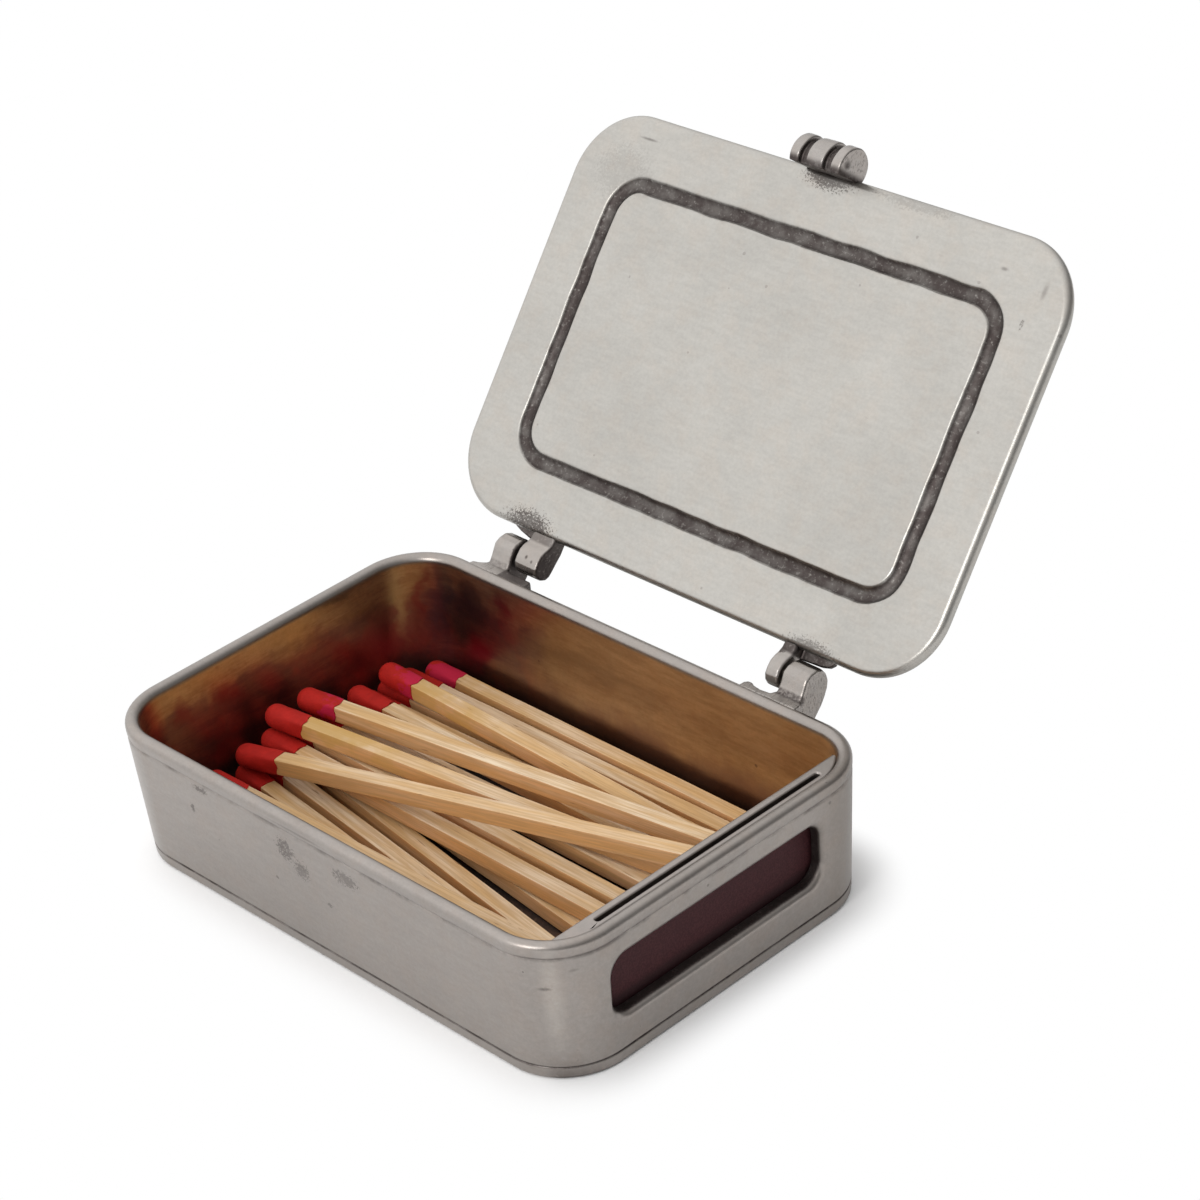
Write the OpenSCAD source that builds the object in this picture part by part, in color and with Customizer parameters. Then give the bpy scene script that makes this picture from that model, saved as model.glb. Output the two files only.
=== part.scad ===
// Pewter table box for long household matches, with a hinged lid that stands open,
// a striker strip behind a window in one end wall, and a loose pile of red-headed matches.
// Origin: centre of the box's underside. +X is the striker end, +Y the hinge side, +Z up.

/* [Box] */
// Length of the box over its rim, beyond the length of a match
end_room = 16; // [16:0.5:30]
// Depth of the box over its rim, front to hinge side
body_d = 77.4; // [77.4:0.2:90]
// Height of the rim above the table
body_h = 27.7; // [27.7:0.1:34]
// Corner radius at the rim
corner_r = 12.8; // [11:0.2:13]
// How far each wall leans in from the rim down to the foot
taper = 1.2; // [0.8:0.1:1.3]
// Wall thickness, which is also the width of the round rim
wall_t = 2.6; // [2.2:0.1:2.6]
// Thickness of the base plate
base_t = 2.5; // [2:0.1:2.6]
// Softening of the base plate's lower edge
foot_edge = 0.8; // [0.4:0.1:1.2]

/* [Window] */
// Width of the window in the striker end
window_w = 49.6; // [40:0.2:50]
// Height of the window
window_h = 12.6; // [10:0.2:13]
// Lower edge of the window above the table
window_z = 8.4; // [7:0.1:9]
// Offset of the window's middle along the end wall
window_y = -1.4; // [-2:0.1:0]
// Corner radius of the window
window_r = 4; // [2:0.1:5]

/* [Striker] */
// Distance of the divider's inner face from the rim's outer edge
divider_in = 6.5; // [6.4:0.1:6.8]
// Thickness of the divider
divider_t = 1.8; // [1.5:0.1:1.8]
// Height of the divider's top edge above the table
divider_top = 26.9; // [24:0.1:27.2]
// Distance of the divider's front end from the front edge of the rim
divider_front_in = 5.7; // [5.7:0.1:8]
// Distance of the divider's back end from the back edge of the rim
divider_back_in = 6.2; // [5.8:0.1:8]
// Distance of the strip's pocket from the front edge of the rim
pocket_front_in = 13.7; // [12.8:0.1:13.7]
// Distance of the strip's pocket from the back edge of the rim
pocket_back_in = 11.7; // [10.8:0.1:11.7]
// Thickness of the striker strip
strip_t = 0.75; // [0.5:0.05:0.8]
// Height of the striker strip
strip_h = 21.9; // [20:0.1:22]
// Free space at each end of the strip
strip_end_gap = 0.3; // [0.2:0.1:0.6]
// Free space behind and below the strip
strip_gap = 0.1; // [0.05:0.05:0.15]
// Height of the bar that keeps the strip's top edge away from the wall
bar_h = 3.5; // [2.5:0.5:4]

/* [Lid] */
// Reach of the lid past the rim at the front and at the back
lid_over = 0.8; // [0.3:0.1:0.8]
// Thickness of the lid
lid_t = 2.3; // [1.8:0.1:2.6]
// Corner radius of the lid
lid_r = 13.8; // [12:0.2:14]
// Softening of the lid's edges
lid_edge = 0.7; // [0.3:0.1:0.8]
// Gap between rim and closed lid
lid_gap = 0.15; // [0.1:0.05:0.2]
// Angle at which the lid stands open
lid_open = 128; // [100:1:128]
// Length of the groove's centre line inside the lid
groove_w = 91; // [80:1:92]
// Depth of the groove's centre line, front to back
groove_d = 54; // [44:1:56]
// Corner radius of the groove's centre line
groove_r = 6.5; // [5:0.1:8]
// Width of the groove
groove_width = 2.8; // [2:0.1:3]
// Depth of the groove, and height of the bead outside
groove_depth = 0.8; // [0.4:0.1:1]
// Height of the bead on the lid's outside
bead_h = 0.4; // [0.2:0.1:0.6]

/* [Thumb lift] */
// Radius of the thumb lift
thumb_r = 3.96; // [3.4:0.02:4]
// Width of the middle lobe
thumb_mid = 4; // [3:0.1:5]
// Width of each outer lobe
thumb_side = 2.3; // [1.8:0.1:2.8]
// Width of each groove between lobes
thumb_groove = 1.6; // [1:0.1:2]
// Depth of the grooves
thumb_cut = 1; // [0.5:0.1:1.4]
// Distance of the barrel's axis in front of the lid's edge
thumb_out = 1.33; // [1.2:0.01:1.5]
// Distance of the barrel's axis below the lid's inner face
thumb_down = 1.69; // [1:0.01:1.8]

/* [Hinges] */
// Distance of the left hinge from the left end of the box
hinge_left_in = 17.8; // [14:0.1:22]
// Distance of the right hinge from the right end of the box
hinge_right_in = 20.2; // [16:0.1:24]
// Width of the left box knuckle
box_knuckle_left = 5.3; // [4:0.1:6]
// Width of the left lid knuckle
lid_knuckle_left = 6.2; // [4:0.1:7]
// Width of the right box knuckle
box_knuckle_right = 5.9; // [4:0.1:7]
// Width of the right lid knuckle
lid_knuckle_right = 3.3; // [3:0.1:6]
// Reach of the left box leaf past its knuckle, outwards
box_leaf_side_left = 2.8; // [0.5:0.1:4]
// Reach of the right box leaf past the lid knuckle, inwards
box_leaf_side_right = 2.8; // [0.5:0.1:4]
// Reach of each lid leaf past the box knuckle
lid_leaf_side = 0.6; // [0.2:0.1:2]
// Distance of the hinge axis behind the lid's edge
axis_out = 4.8; // [4.7:0.1:5]
// Height of the hinge axis above the lid's inner face
axis_up = 0.85; // [0.8:0.05:1]
// Radius of the lid's knuckles
lid_knuckle_r = 2.9; // [2.6:0.05:3]
// Radius of the box's knuckles
box_knuckle_r = 3; // [2.6:0.05:3.05]
// Gap between neighbouring knuckles
knuckle_gap = 0.3; // [0.2:0.05:0.5]
// Radius of the hinge pins
pin_r = 0.9; // [0.7:0.05:1]
// Running clearance round a pin in a lid knuckle
pin_clearance = 0.05; // [0.02:0.01:0.08]
// Clearance round a pin in the box knuckle that holds it
pin_seat = 0.02; // [0.01:0.01:0.05]
// Metal left at each end of a pin's blind hole
pin_cover = 1; // [0.8:0.1:1.4]
// Thickness of the lid leaves
lid_leaf_t = 1.2; // [1:0.1:1.3]
// Reach of the lid leaves over the lid
lid_leaf_in = 5; // [4:0.1:7]
// Reach of the lid leaves past the lid's edge
lid_leaf_out = 1.2; // [0.8:0.1:1.2]
// Thickness of the box leaves at the rim
box_leaf_t = 2.2; // [1.6:0.1:2.3]
// Height of the box leaves
box_leaf_h = 9; // [7:0.5:12]

/* [Matches] */
// Side of a square match stick
stick = 3.2; // [2.8:0.05:3.2]
// Length of a match with its head
match_l = 100; // [96:0.5:100]
// Diameter of a match head
head_d = 4.6; // [4:0.05:4.6]
// Length of a match head
head_l = 10.5; // [9:0.1:11]

/* [Parts] */
// Which part to draw

/* [Hidden] */
$fn = 64;
eps = 0.01;
open_cut = 20;
rim_r = wall_t / 2;
body_w = match_l + end_room;
half_w = body_w / 2;
half_d = body_d / 2;
corner_x = half_w - corner_r;
corner_y = half_d - corner_r;
// clearance between a piece and the wall that it is fixed to
fit_gap = 0.05;
lid_z = body_h + lid_gap;
lid_half_w = half_w;
lid_half_d = half_d + lid_over;
axis_y = lid_half_d + axis_out;
axis_z = lid_z + axis_up;
divider_x = half_w - divider_in;
divider_front = -half_d + divider_front_in;
divider_back = half_d - divider_back_in;
pocket_front = -half_d + pocket_front_in;
pocket_back = half_d - pocket_back_in;
pocket_x = divider_x + divider_t;
slot_w = strip_t + 2 * strip_gap;
head_r = head_d / 2;

// Radius of the outer face about a corner centre, at height z
function out_r(z) = corner_r - taper * (1 - z / body_h);
function in_r(z) = out_r(z) - wall_t;

// Knuckles and leaves of each hinge, from and to along X
left_x = -half_w + hinge_left_in;
right_x = half_w - hinge_right_in;
left_seam = left_x + box_knuckle_left + knuckle_gap;
right_seam = right_x - box_knuckle_right - knuckle_gap;
box_knuckle_x = [
    [left_x, left_x + box_knuckle_left],
    [right_x - box_knuckle_right, right_x]
];
lid_knuckle_x = [
    [left_seam, left_seam + lid_knuckle_left],
    [right_seam - lid_knuckle_right, right_seam]
];
box_leaf_x = [
    [left_x - box_leaf_side_left, lid_knuckle_x[0][1]],
    [lid_knuckle_x[1][0] - box_leaf_side_right, right_x]
];
lid_leaf_x = [
    [left_x - lid_leaf_side, lid_knuckle_x[0][1]],
    [lid_knuckle_x[1][0], right_x + lid_leaf_side]
];
sides = ["left", "right"];

// Matches, from the lowest to the topmost: distance of the tip from the left wall in head
// diameters, place from the middle (0) to the front (-1) or back (1), yaw in degrees. A fourth
// value is the rise of a match that leans on others, per length; without it the match settles.
pile = [
    [0.35, -0.72, -3],
    [0.45, -0.394, -6.8],
    [0.35, -0.254, -7.3],
    [0.4, -0.093, -8.3],
    [0.35, 0.04, -6.6],
    [0.4, 0.217, 2.2],
    [0.35, 0.463, 2],
    [0.35, 0.603, 1.4],
    [0.4, 0.743, 0.8],
    [0.9, 0.886, 0.2],
    [0.55, -0.215, 0.7],
    [0.35, -0.08, 1.4],
    [0.65, 0.368, 1.4],
    [0.5, 0.12, 2],
    [0.75, 0.589, -1],
    [0.75, -0.63, 1.7],
    [0.75, -0.417, 10.2, 0.104],
    [0.65, -0.186, 11],
    [0.45, 0.052, 9.6]
];
// Gap that is left between a match and what it lies on
seat = 0.06;
samples = 80;
no_need = -1000;
// Half the spread of the slopes that a settling match may take, and their step
slope_max = 0.12;
slope_step = 0.002;
wall_face_x = -corner_x - in_r(base_t);
floor_half_d = corner_y + in_r(base_t);
// Sticks closer than this many widths lie on one another
beside = 1.03;
spots = [for (i = [0 : samples]) i * match_l / samples];

function is_head(s) = s <= head_l + match_l / samples;

// Height between two axes that lie a given distance apart in plan
function rise(apart, a, b) =
    a && b ? (apart < head_d ? sqrt(head_d * head_d - apart * apart) : no_need)
    : a || b ? (
        apart <= stick / 2 ? head_r + stick / 2
        : apart < stick / 2 + head_r ? stick / 2 + sqrt(pow(head_r, 2) - pow(apart - stick / 2, 2))
        : no_need
    )
    : apart < stick * beside ? stick : no_need;

// Least height of match m's axis at distance s from its tip, over those already laid
function least(m, s, laid) =
    let (p = [m[0] + s * cos(m[2]), m[1] + s * sin(m[2])])
    max(concat(
        [(is_head(s) ? head_r : stick / 2) + seat],
        [for (q = laid)
            let (
                w = [p[0] - q[0], p[1] - q[1]],
                along = w[0] * cos(q[2]) + w[1] * sin(q[2]),
                apart = abs(w[1] * cos(q[2]) - w[0] * sin(q[2]))
            )
            along < -seat || along > match_l + seat ? no_need
            : q[4] + q[3] * along + rise(apart, is_head(s), is_head(along)) + seat
        ]
    ));

// Height of the tip at a given slope
function tip_z(needs, slope) = max([for (i = [0 : samples]) needs[i] - slope * spots[i]]);

// The slope at which the match's middle lies lowest
function best_slope(needs) =
    let (
        slopes = [-slope_max : slope_step : slope_max],
        mids = [for (k = slopes) [tip_z(needs, k) + k * match_l / 2, k]],
        low = min([for (m = mids) m[0]])
    )
    [for (m = mids) if (m[0] <= low) m[1]][0];

// Lays the matches one after another: tip x, tip y, yaw, slope, tip height above the floor
function settle(i, laid) =
    i == len(pile) ? laid
    : let (
        m = [wall_face_x + pile[i][0] * head_d, pile[i][1] * floor_half_d, pile[i][2]],
        needs = [for (s = spots) least(m, s, laid)],
        slope = len(pile[i]) > 3 ? pile[i][3] : best_slope(needs)
    )
    settle(i + 1, concat(laid, [[m[0], m[1], m[2], slope, tip_z(needs, slope)]]));

rows = settle(0, []);
match_count = len(rows);

// Sweeps a profile round a rectangle with rounded corners. The profile's x is the
// distance from the rectangle of the corner centres, its y is the height.
module sweep_rect(cx, cy) {
    for (c = [[1, 1, 0], [-1, 1, 90], [-1, -1, 180], [1, -1, 270]])
        translate([c[0] * cx, c[1] * cy, 0])
            rotate([0, 0, c[2]])
                rotate_extrude(angle = 90)
                    children();
    for (a = [[0, cx, cy], [90, cy, cx], [180, cx, cy], [270, cy, cx]])
        rotate([0, 0, a[0]])
            translate([a[1], a[2], 0])
                rotate([90, 0, 0])
                    linear_extrude(height = 2 * a[2])
                        children();
}

// A rounded slab whose edge follows the profile
module slab(cx, cy, z0, z1) {
    sweep_rect(cx, cy)
        children();
    translate([-cx, -cy, z0])
        cube([2 * cx, 2 * cy, z1 - z0]);
}

module base_plate() {
    color([0.62, 0.6, 0.58])
        slab(corner_x, corner_y, 0, base_t)
            polygon([
                [0, 0],
                [out_r(0) - foot_edge, 0],
                [out_r(0) - foot_edge * 0.3, foot_edge * 0.3],
                [out_r(foot_edge), foot_edge],
                [out_r(base_t), base_t],
                [0, base_t]
            ]);
}

module wall_profile() {
    top = body_h - rim_r;
    polygon([
        [out_r(base_t), base_t],
        [out_r(top), top],
        [in_r(top), top],
        [in_r(base_t), base_t]
    ]);
    translate([out_r(top) - rim_r, top])
        circle(r = rim_r);
}

module window_cut() {
    yz = [window_w / 2 - window_r, window_h / 2 - window_r];
    translate([half_w - open_cut / 2, window_y, window_z + window_h / 2])
        rotate([90, 0, 90])
            linear_extrude(height = open_cut) {
                square([window_w, 2 * yz[1]], center = true);
                square([2 * yz[0], window_h], center = true);
                for (a = [-1, 1], b = [-1, 1])
                    translate([a * yz[0], b * yz[1]])
                        circle(r = window_r);
            }
}

module body_shell() {
    color([0.62, 0.6, 0.58])
        difference() {
            sweep_rect(corner_x, corner_y)
                wall_profile();
            window_cut();
        }
}

// The hollow of the box, less the clearance of what is fixed in it
module hollow() {
    slab(corner_x, corner_y, base_t, body_h)
        polygon([
            [0, base_t],
            [in_r(base_t) - fit_gap, base_t],
            [in_r(body_h) - fit_gap, body_h],
            [0, body_h]
        ]);
}

module striker_wall() {
    color([0.62, 0.6, 0.58])
        difference() {
            intersection() {
                hollow();
                translate([divider_x, divider_front, base_t])
                    cube([half_w - divider_x, divider_back - divider_front, divider_top - base_t]);
            }
            translate([pocket_x, pocket_front, base_t - eps])
                cube([slot_w, pocket_back - pocket_front, body_h]);
            translate([pocket_x, pocket_front, base_t - eps])
                cube([open_cut, pocket_back - pocket_front, divider_top - bar_h - base_t]);
        }
}

module striker_strip() {
    color([0.28, 0.15, 0.17])
        translate([pocket_x + strip_gap, pocket_front + strip_end_gap, base_t + strip_gap])
            cube([strip_t, pocket_back - pocket_front - 2 * strip_end_gap, strip_h]);
}

// Turns what belongs to the lid from closed to its open stand
module opened() {
    translate([0, axis_y, axis_z])
        rotate([-lid_open, 0, 0])
            translate([0, -axis_y, -axis_z])
                children();
}

module lid_plate() {
    color([0.78, 0.77, 0.76])
        opened()
            translate([0, 0, lid_z])
                difference() {
                    union() {
                        slab(lid_half_w - lid_r, lid_half_d - lid_r, 0, lid_t)
                            polygon([
                                [0, 0],
                                [lid_r - lid_edge, 0],
                                [lid_r, lid_edge],
                                [lid_r, lid_t - lid_edge],
                                [lid_r - lid_edge, lid_t],
                                [0, lid_t]
                            ]);
                        sweep_rect(groove_w / 2 - groove_r, groove_d / 2 - groove_r)
                            polygon([
                                [groove_r - groove_width / 2, lid_t - eps],
                                [groove_r + groove_width / 2, lid_t - eps],
                                [groove_r + groove_width / 4, lid_t + bead_h],
                                [groove_r - groove_width / 4, lid_t + bead_h]
                            ]);
                    }
                    sweep_rect(groove_w / 2 - groove_r, groove_d / 2 - groove_r)
                        polygon([
                            [groove_r - groove_width / 2, -eps],
                            [groove_r + groove_width / 2, -eps],
                            [groove_r + groove_width / 4, groove_depth],
                            [groove_r - groove_width / 4, groove_depth]
                        ]);
                }
}

module thumb_lift() {
    thumb_w = thumb_mid + 2 * thumb_side + 2 * thumb_groove;
    color([0.68, 0.66, 0.64])
        opened()
            difference() {
                translate([-thumb_w / 2, -lid_half_d - thumb_out, lid_z - thumb_down])
                    rotate([0, 90, 0]) {
                        cylinder(r = thumb_r - thumb_cut, h = thumb_w);
                        cylinder(r = thumb_r, h = thumb_side);
                        translate([0, 0, thumb_w - thumb_side])
                            cylinder(r = thumb_r, h = thumb_side);
                        translate([0, 0, (thumb_w - thumb_mid) / 2])
                            cylinder(r = thumb_r, h = thumb_mid);
                    }
                translate([-open_cut / 2, -lid_half_d, lid_z - open_cut / 2])
                    cube([open_cut, open_cut, open_cut]);
            }
}

// A length of shaft on the hinge axis
module on_axis(x0, x1, r) {
    translate([x0, axis_y, axis_z])
        rotate([0, 90, 0])
            cylinder(r = r, h = x1 - x0);
}

// A block given by its two corners
module block(p, q) {
    translate(p)
        cube([q[0] - p[0], q[1] - p[1], q[2] - p[2]]);
}

module hinge_box(i) {
    k = box_knuckle_x[i];
    f = box_leaf_x[i];
    face_y = half_d - taper;
    back_y = half_d + box_leaf_t;
    top_z = body_h - eps;
    color([0.66, 0.64, 0.62])
        difference() {
            union() {
                intersection() {
                    block([f[0], face_y, top_z - box_leaf_h], [f[1], back_y, top_z]);
                    block([-half_w, face_y, 0], [half_w, back_y, top_z]);
                }
                translate([k[1], 0, 0])
                    rotate([0, -90, 0])
                        linear_extrude(height = k[1] - k[0])
                            polygon([
                                [top_z - box_leaf_h, face_y],
                                [top_z - box_leaf_h, back_y],
                                [axis_z - box_knuckle_r * 0.8, axis_y + box_knuckle_r * 0.6],
                                [axis_z, axis_y],
                                [axis_z - box_knuckle_r * 0.2, back_y],
                                [top_z, back_y - eps],
                                [top_z, face_y]
                            ]);
                on_axis(k[0], k[1], box_knuckle_r);
            }
            slab(corner_x, corner_y, 0, body_h)
                polygon([
                    [0, 0],
                    [out_r(0) + fit_gap, 0],
                    [out_r(body_h) + fit_gap, body_h],
                    [0, body_h]
                ]);
            pin_hole(i, pin_seat);
        }
}

module pin_hole(i, clearance) {
    x0 = min(box_knuckle_x[i][0], lid_knuckle_x[i][0]) + pin_cover;
    x1 = max(box_knuckle_x[i][1], lid_knuckle_x[i][1]) - pin_cover;
    on_axis(x0 - fit_gap, x1 + fit_gap, pin_r + clearance);
}

module hinge_pin(i) {
    x0 = min(box_knuckle_x[i][0], lid_knuckle_x[i][0]) + pin_cover;
    x1 = max(box_knuckle_x[i][1], lid_knuckle_x[i][1]) - pin_cover;
    color([0.5, 0.5, 0.5])
        on_axis(x0, x1, pin_r);
}

module hinge_lid(i) {
    k = lid_knuckle_x[i];
    f = lid_leaf_x[i];
    edge_y = lid_half_d;
    top_z = lid_z + lid_t;
    color([0.7, 0.68, 0.66])
        opened()
            difference() {
                union() {
                    block([f[0], edge_y - lid_leaf_in, top_z], [f[1], edge_y + lid_leaf_out, top_z + lid_leaf_t]);
                    block([k[0], edge_y, lid_z], [k[1], axis_y, top_z + lid_leaf_t - lid_edge / 2]);
                    on_axis(k[0], k[1], lid_knuckle_r);
                }
                pin_hole(i, pin_clearance);
            }
}

// Puts a match where it lies
module laid(i) {
    m = rows[i];
    translate([m[0], m[1], base_t + m[4]])
        rotate([0, -atan(m[3]), m[2]])
            children();
}

module match_stick(i) {
    color([0.82, 0.72, 0.55])
        laid(i)
            translate([head_l, -stick / 2, -stick / 2])
                cube([match_l - head_l, stick, stick]);
}

module match_head(i) {
    color([0.62, 0.13, 0.11])
        laid(i)
            rotate([0, 90, 0])
                rotate_extrude()
                    intersection() {
                        union() {
                            translate([0, head_r])
                                circle(r = head_r);
                            translate([0, head_r])
                                square([head_r, head_l - head_r]);
                        }
                        square([head_r, head_l]);
                    }
}

base_plate();
body_shell();
striker_wall();
striker_strip();
lid_plate();
thumb_lift();
for (i = [0, 1]) hinge_box(i);
for (i = [0, 1]) hinge_lid(i);
for (i = [0, 1]) hinge_pin(i);
for (i = [1 : match_count]) match_stick(i - 1);
for (i = [1 : match_count]) match_head(i - 1);
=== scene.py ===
import math
import random

import bmesh
import bpy
from mathutils import Matrix, Vector, noise


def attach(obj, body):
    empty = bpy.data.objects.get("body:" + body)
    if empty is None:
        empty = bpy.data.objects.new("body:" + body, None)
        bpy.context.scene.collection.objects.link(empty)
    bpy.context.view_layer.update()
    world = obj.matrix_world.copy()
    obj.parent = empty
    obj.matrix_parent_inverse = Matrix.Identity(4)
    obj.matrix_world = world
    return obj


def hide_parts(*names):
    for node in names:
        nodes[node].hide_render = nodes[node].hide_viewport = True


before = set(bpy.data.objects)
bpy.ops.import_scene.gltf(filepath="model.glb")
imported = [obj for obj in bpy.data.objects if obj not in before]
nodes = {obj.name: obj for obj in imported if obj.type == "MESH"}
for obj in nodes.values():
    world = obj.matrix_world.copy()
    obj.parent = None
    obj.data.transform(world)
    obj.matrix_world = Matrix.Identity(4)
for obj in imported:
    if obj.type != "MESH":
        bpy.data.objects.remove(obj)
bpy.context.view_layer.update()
scene = bpy.context.scene
scene.view_settings.view_transform = "Standard"


# Camera.
# A long lens from the front right corner, a little rolled, as the photograph has it.
azimuth = math.radians(50.359)
elevation = math.radians(31.683)
roll = math.radians(-6.973)
distance = 0.608574
side_shift = 0.000907
up_shift = 0.023981
target = Vector((0, 0, 0.015))
toward = Vector(
    (
        math.sin(azimuth) * math.cos(elevation),
        -math.cos(azimuth) * math.cos(elevation),
        math.sin(elevation),
    )
)
flat_right = (-toward).cross(Vector((0, 0, 1))).normalized()
flat_up = flat_right.cross(-toward)
right = flat_right * math.cos(roll) + flat_up * math.sin(roll)
up = flat_up * math.cos(roll) - flat_right * math.sin(roll)
bpy.ops.object.camera_add()
camera = bpy.context.object
camera.name = "camera"
camera.matrix_world = Matrix.Translation(
    target + toward * distance + right * side_shift + up * up_shift
) @ Matrix((right, up, toward)).transposed().to_4x4()
camera.data.lens = 105.598
camera.data.sensor_width = 36
camera.data.shift_x = 0.0907
camera.data.shift_y = 0.044
camera.data.clip_start = 0.01
camera.data.clip_end = 10
scene.camera = camera


# Light.
# A white room that is brightest high on the left, and a small soft lamp in front of the
# box, as from a window, which gives the metal its fine highlights.
world = bpy.data.worlds.new("room")
scene.world = world
world.use_nodes = True
tree = world.node_tree
tree.nodes.clear()
path = tree.nodes.new("ShaderNodeLightPath")
seen = tree.nodes.new("ShaderNodeMath")
seen.operation = "MAXIMUM"
tree.links.new(path.outputs["Is Camera Ray"], seen.inputs[0])
tree.links.new(path.outputs["Is Transmission Ray"], seen.inputs[1])
way = tree.nodes.new("ShaderNodeTexCoord")
facing = tree.nodes.new("ShaderNodeVectorMath")
facing.operation = "DOT_PRODUCT"
facing.inputs[1].default_value = Vector((-0.60, -0.28, 0.75)).normalized()
tree.links.new(way.outputs["Generated"], facing.inputs[0])
level = tree.nodes.new("ShaderNodeMapRange")
level.interpolation_type = "SMOOTHSTEP"
level.inputs["From Min"].default_value = -0.3
level.inputs["To Min"].default_value = 0.30
level.inputs["To Max"].default_value = 1.45
tree.links.new(facing.outputs["Value"], level.inputs["Value"])
room = tree.nodes.new("ShaderNodeBackground")
room.inputs["Color"].default_value = (1, 1, 1, 1)
tree.links.new(level.outputs["Result"], room.inputs["Strength"])
white = tree.nodes.new("ShaderNodeBackground")
white.inputs["Color"].default_value = (1, 1, 1, 1)
white.inputs["Strength"].default_value = 1
mix = tree.nodes.new("ShaderNodeMixShader")
out = tree.nodes.new("ShaderNodeOutputWorld")
tree.links.new(seen.outputs[0], mix.inputs[0])
tree.links.new(room.outputs[0], mix.inputs[1])
tree.links.new(white.outputs[0], mix.inputs[2])
tree.links.new(mix.outputs[0], out.inputs["Surface"])


def soft_lamp(name, place, size, watts):
    bpy.ops.object.light_add(type="AREA", location=place)
    lamp = bpy.context.object
    lamp.name = name
    lamp.data.shape = "DISK"
    lamp.data.size = size
    lamp.data.energy = watts
    away = Vector((0, 0, 0.02)) - Vector(place)
    lamp.rotation_euler = away.to_track_quat("-Z", "Y").to_euler()


soft_lamp("lamp_window", (0.10, -0.80, 0.56), 0.4, 2.5)


# Floor.
# Plain white floor. It takes the box's soft shadow, and a little further out it is the
# white of the room.
floor_reach = 3
foot_half = Vector((0.045, 0.026, 0))
foot_round = 0.012
shadow_reach = 0.010
bpy.ops.mesh.primitive_plane_add(size=2 * floor_reach, location=(0, 0, 0))
floor = bpy.context.object
floor.name = "floor"
mat = bpy.data.materials.new("floor_white")
floor.data.materials.append(mat)
mat.use_nodes = True
tree = mat.node_tree
tree.nodes.clear()
coord = tree.nodes.new("ShaderNodeTexCoord")
mirrored = tree.nodes.new("ShaderNodeVectorMath")
mirrored.operation = "ABSOLUTE"
tree.links.new(coord.outputs["Object"], mirrored.inputs[0])
past = tree.nodes.new("ShaderNodeVectorMath")
past.operation = "SUBTRACT"
past.inputs[1].default_value = foot_half
tree.links.new(mirrored.outputs[0], past.inputs[0])
outside = tree.nodes.new("ShaderNodeVectorMath")
outside.operation = "MAXIMUM"
tree.links.new(past.outputs[0], outside.inputs[0])
length = tree.nodes.new("ShaderNodeVectorMath")
length.operation = "LENGTH"
tree.links.new(outside.outputs[0], length.inputs[0])
fade = tree.nodes.new("ShaderNodeMapRange")
fade.interpolation_type = "SMOOTHSTEP"
fade.inputs["From Min"].default_value = foot_round
fade.inputs["From Max"].default_value = foot_round + shadow_reach
tree.links.new(length.outputs["Value"], fade.inputs["Value"])
path = tree.nodes.new("ShaderNodeLightPath")
away = tree.nodes.new("ShaderNodeMath")
away.operation = "MULTIPLY"
tree.links.new(fade.outputs["Result"], away.inputs[0])
tree.links.new(path.outputs["Is Camera Ray"], away.inputs[1])
cloth = tree.nodes.new("ShaderNodeBsdfDiffuse")
cloth.inputs["Color"].default_value = (0.94, 0.94, 0.94, 1)
glow = tree.nodes.new("ShaderNodeEmission")
glow.inputs["Color"].default_value = (1, 1, 1, 1)
mix = tree.nodes.new("ShaderNodeMixShader")
out = tree.nodes.new("ShaderNodeOutputMaterial")
tree.links.new(away.outputs[0], mix.inputs[0])
tree.links.new(cloth.outputs[0], mix.inputs[1])
tree.links.new(glow.outputs[0], mix.inputs[2])
tree.links.new(mix.outputs[0], out.inputs["Surface"])


# Box wall.
# The wall of the box: pewter, with round corners, a thick round rim and a slight lean in
# towards the foot. Its window is sawn out of one end, and its edges are rubbed round.
box_l, box_d = 0.116, 0.0774
rim_top = 0.0277
wall_foot = 0.0025
wall_t = 0.0026
corner_r = 0.0128
lean = 0.0012
rim_round = 0.00127
fold_z, fold_w, fold_in = 0.0249, 0.0006, 0.0002
window_l, window_h, window_r = 0.0489, 0.0119, 0.0037
window_mid = Vector((box_l / 2, -0.0014, 0.0149))
window_round = 0.0013
seam_round = 0.0003
tiny = 0.00001


def deselect():
    if bpy.context.object and bpy.context.object.mode != "OBJECT":
        bpy.ops.object.mode_set(mode="OBJECT")
    bpy.ops.object.select_all(action="DESELECT")


def applied(name):
    piece = bpy.context.object
    piece.name = name
    bpy.ops.object.transform_apply(location=True, rotation=True, scale=True)
    return piece


def block(name, low, high):
    deselect()
    low, high = Vector(low), Vector(high)
    bpy.ops.mesh.primitive_cube_add(size=1, location=(low + high) / 2, scale=high - low)
    return applied(name)


def edit(piece):
    deselect()
    piece.select_set(True)
    bpy.context.view_layer.objects.active = piece
    bpy.ops.object.mode_set(mode="EDIT")
    bpy.ops.mesh.select_mode(type="VERT")
    bpy.ops.mesh.select_all(action="DESELECT")


def pick(piece, kind, wanted):
    bpy.ops.mesh.select_all(action="DESELECT")
    bpy.ops.mesh.select_mode(type=kind)
    work = bmesh.from_edit_mesh(piece.data)
    group = {"VERT": work.verts, "EDGE": work.edges, "FACE": work.faces}[kind]
    for item in group:
        if wanted(item):
            item.select_set(True)
    bmesh.update_edit_mesh(piece.data)


def ends(edge):
    return edge.verts[0].co, edge.verts[1].co


def runs_along(edge, axis):
    a, b = ends(edge)
    step = b - a
    return abs(step[axis]) > 0.99 * step.length


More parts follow.
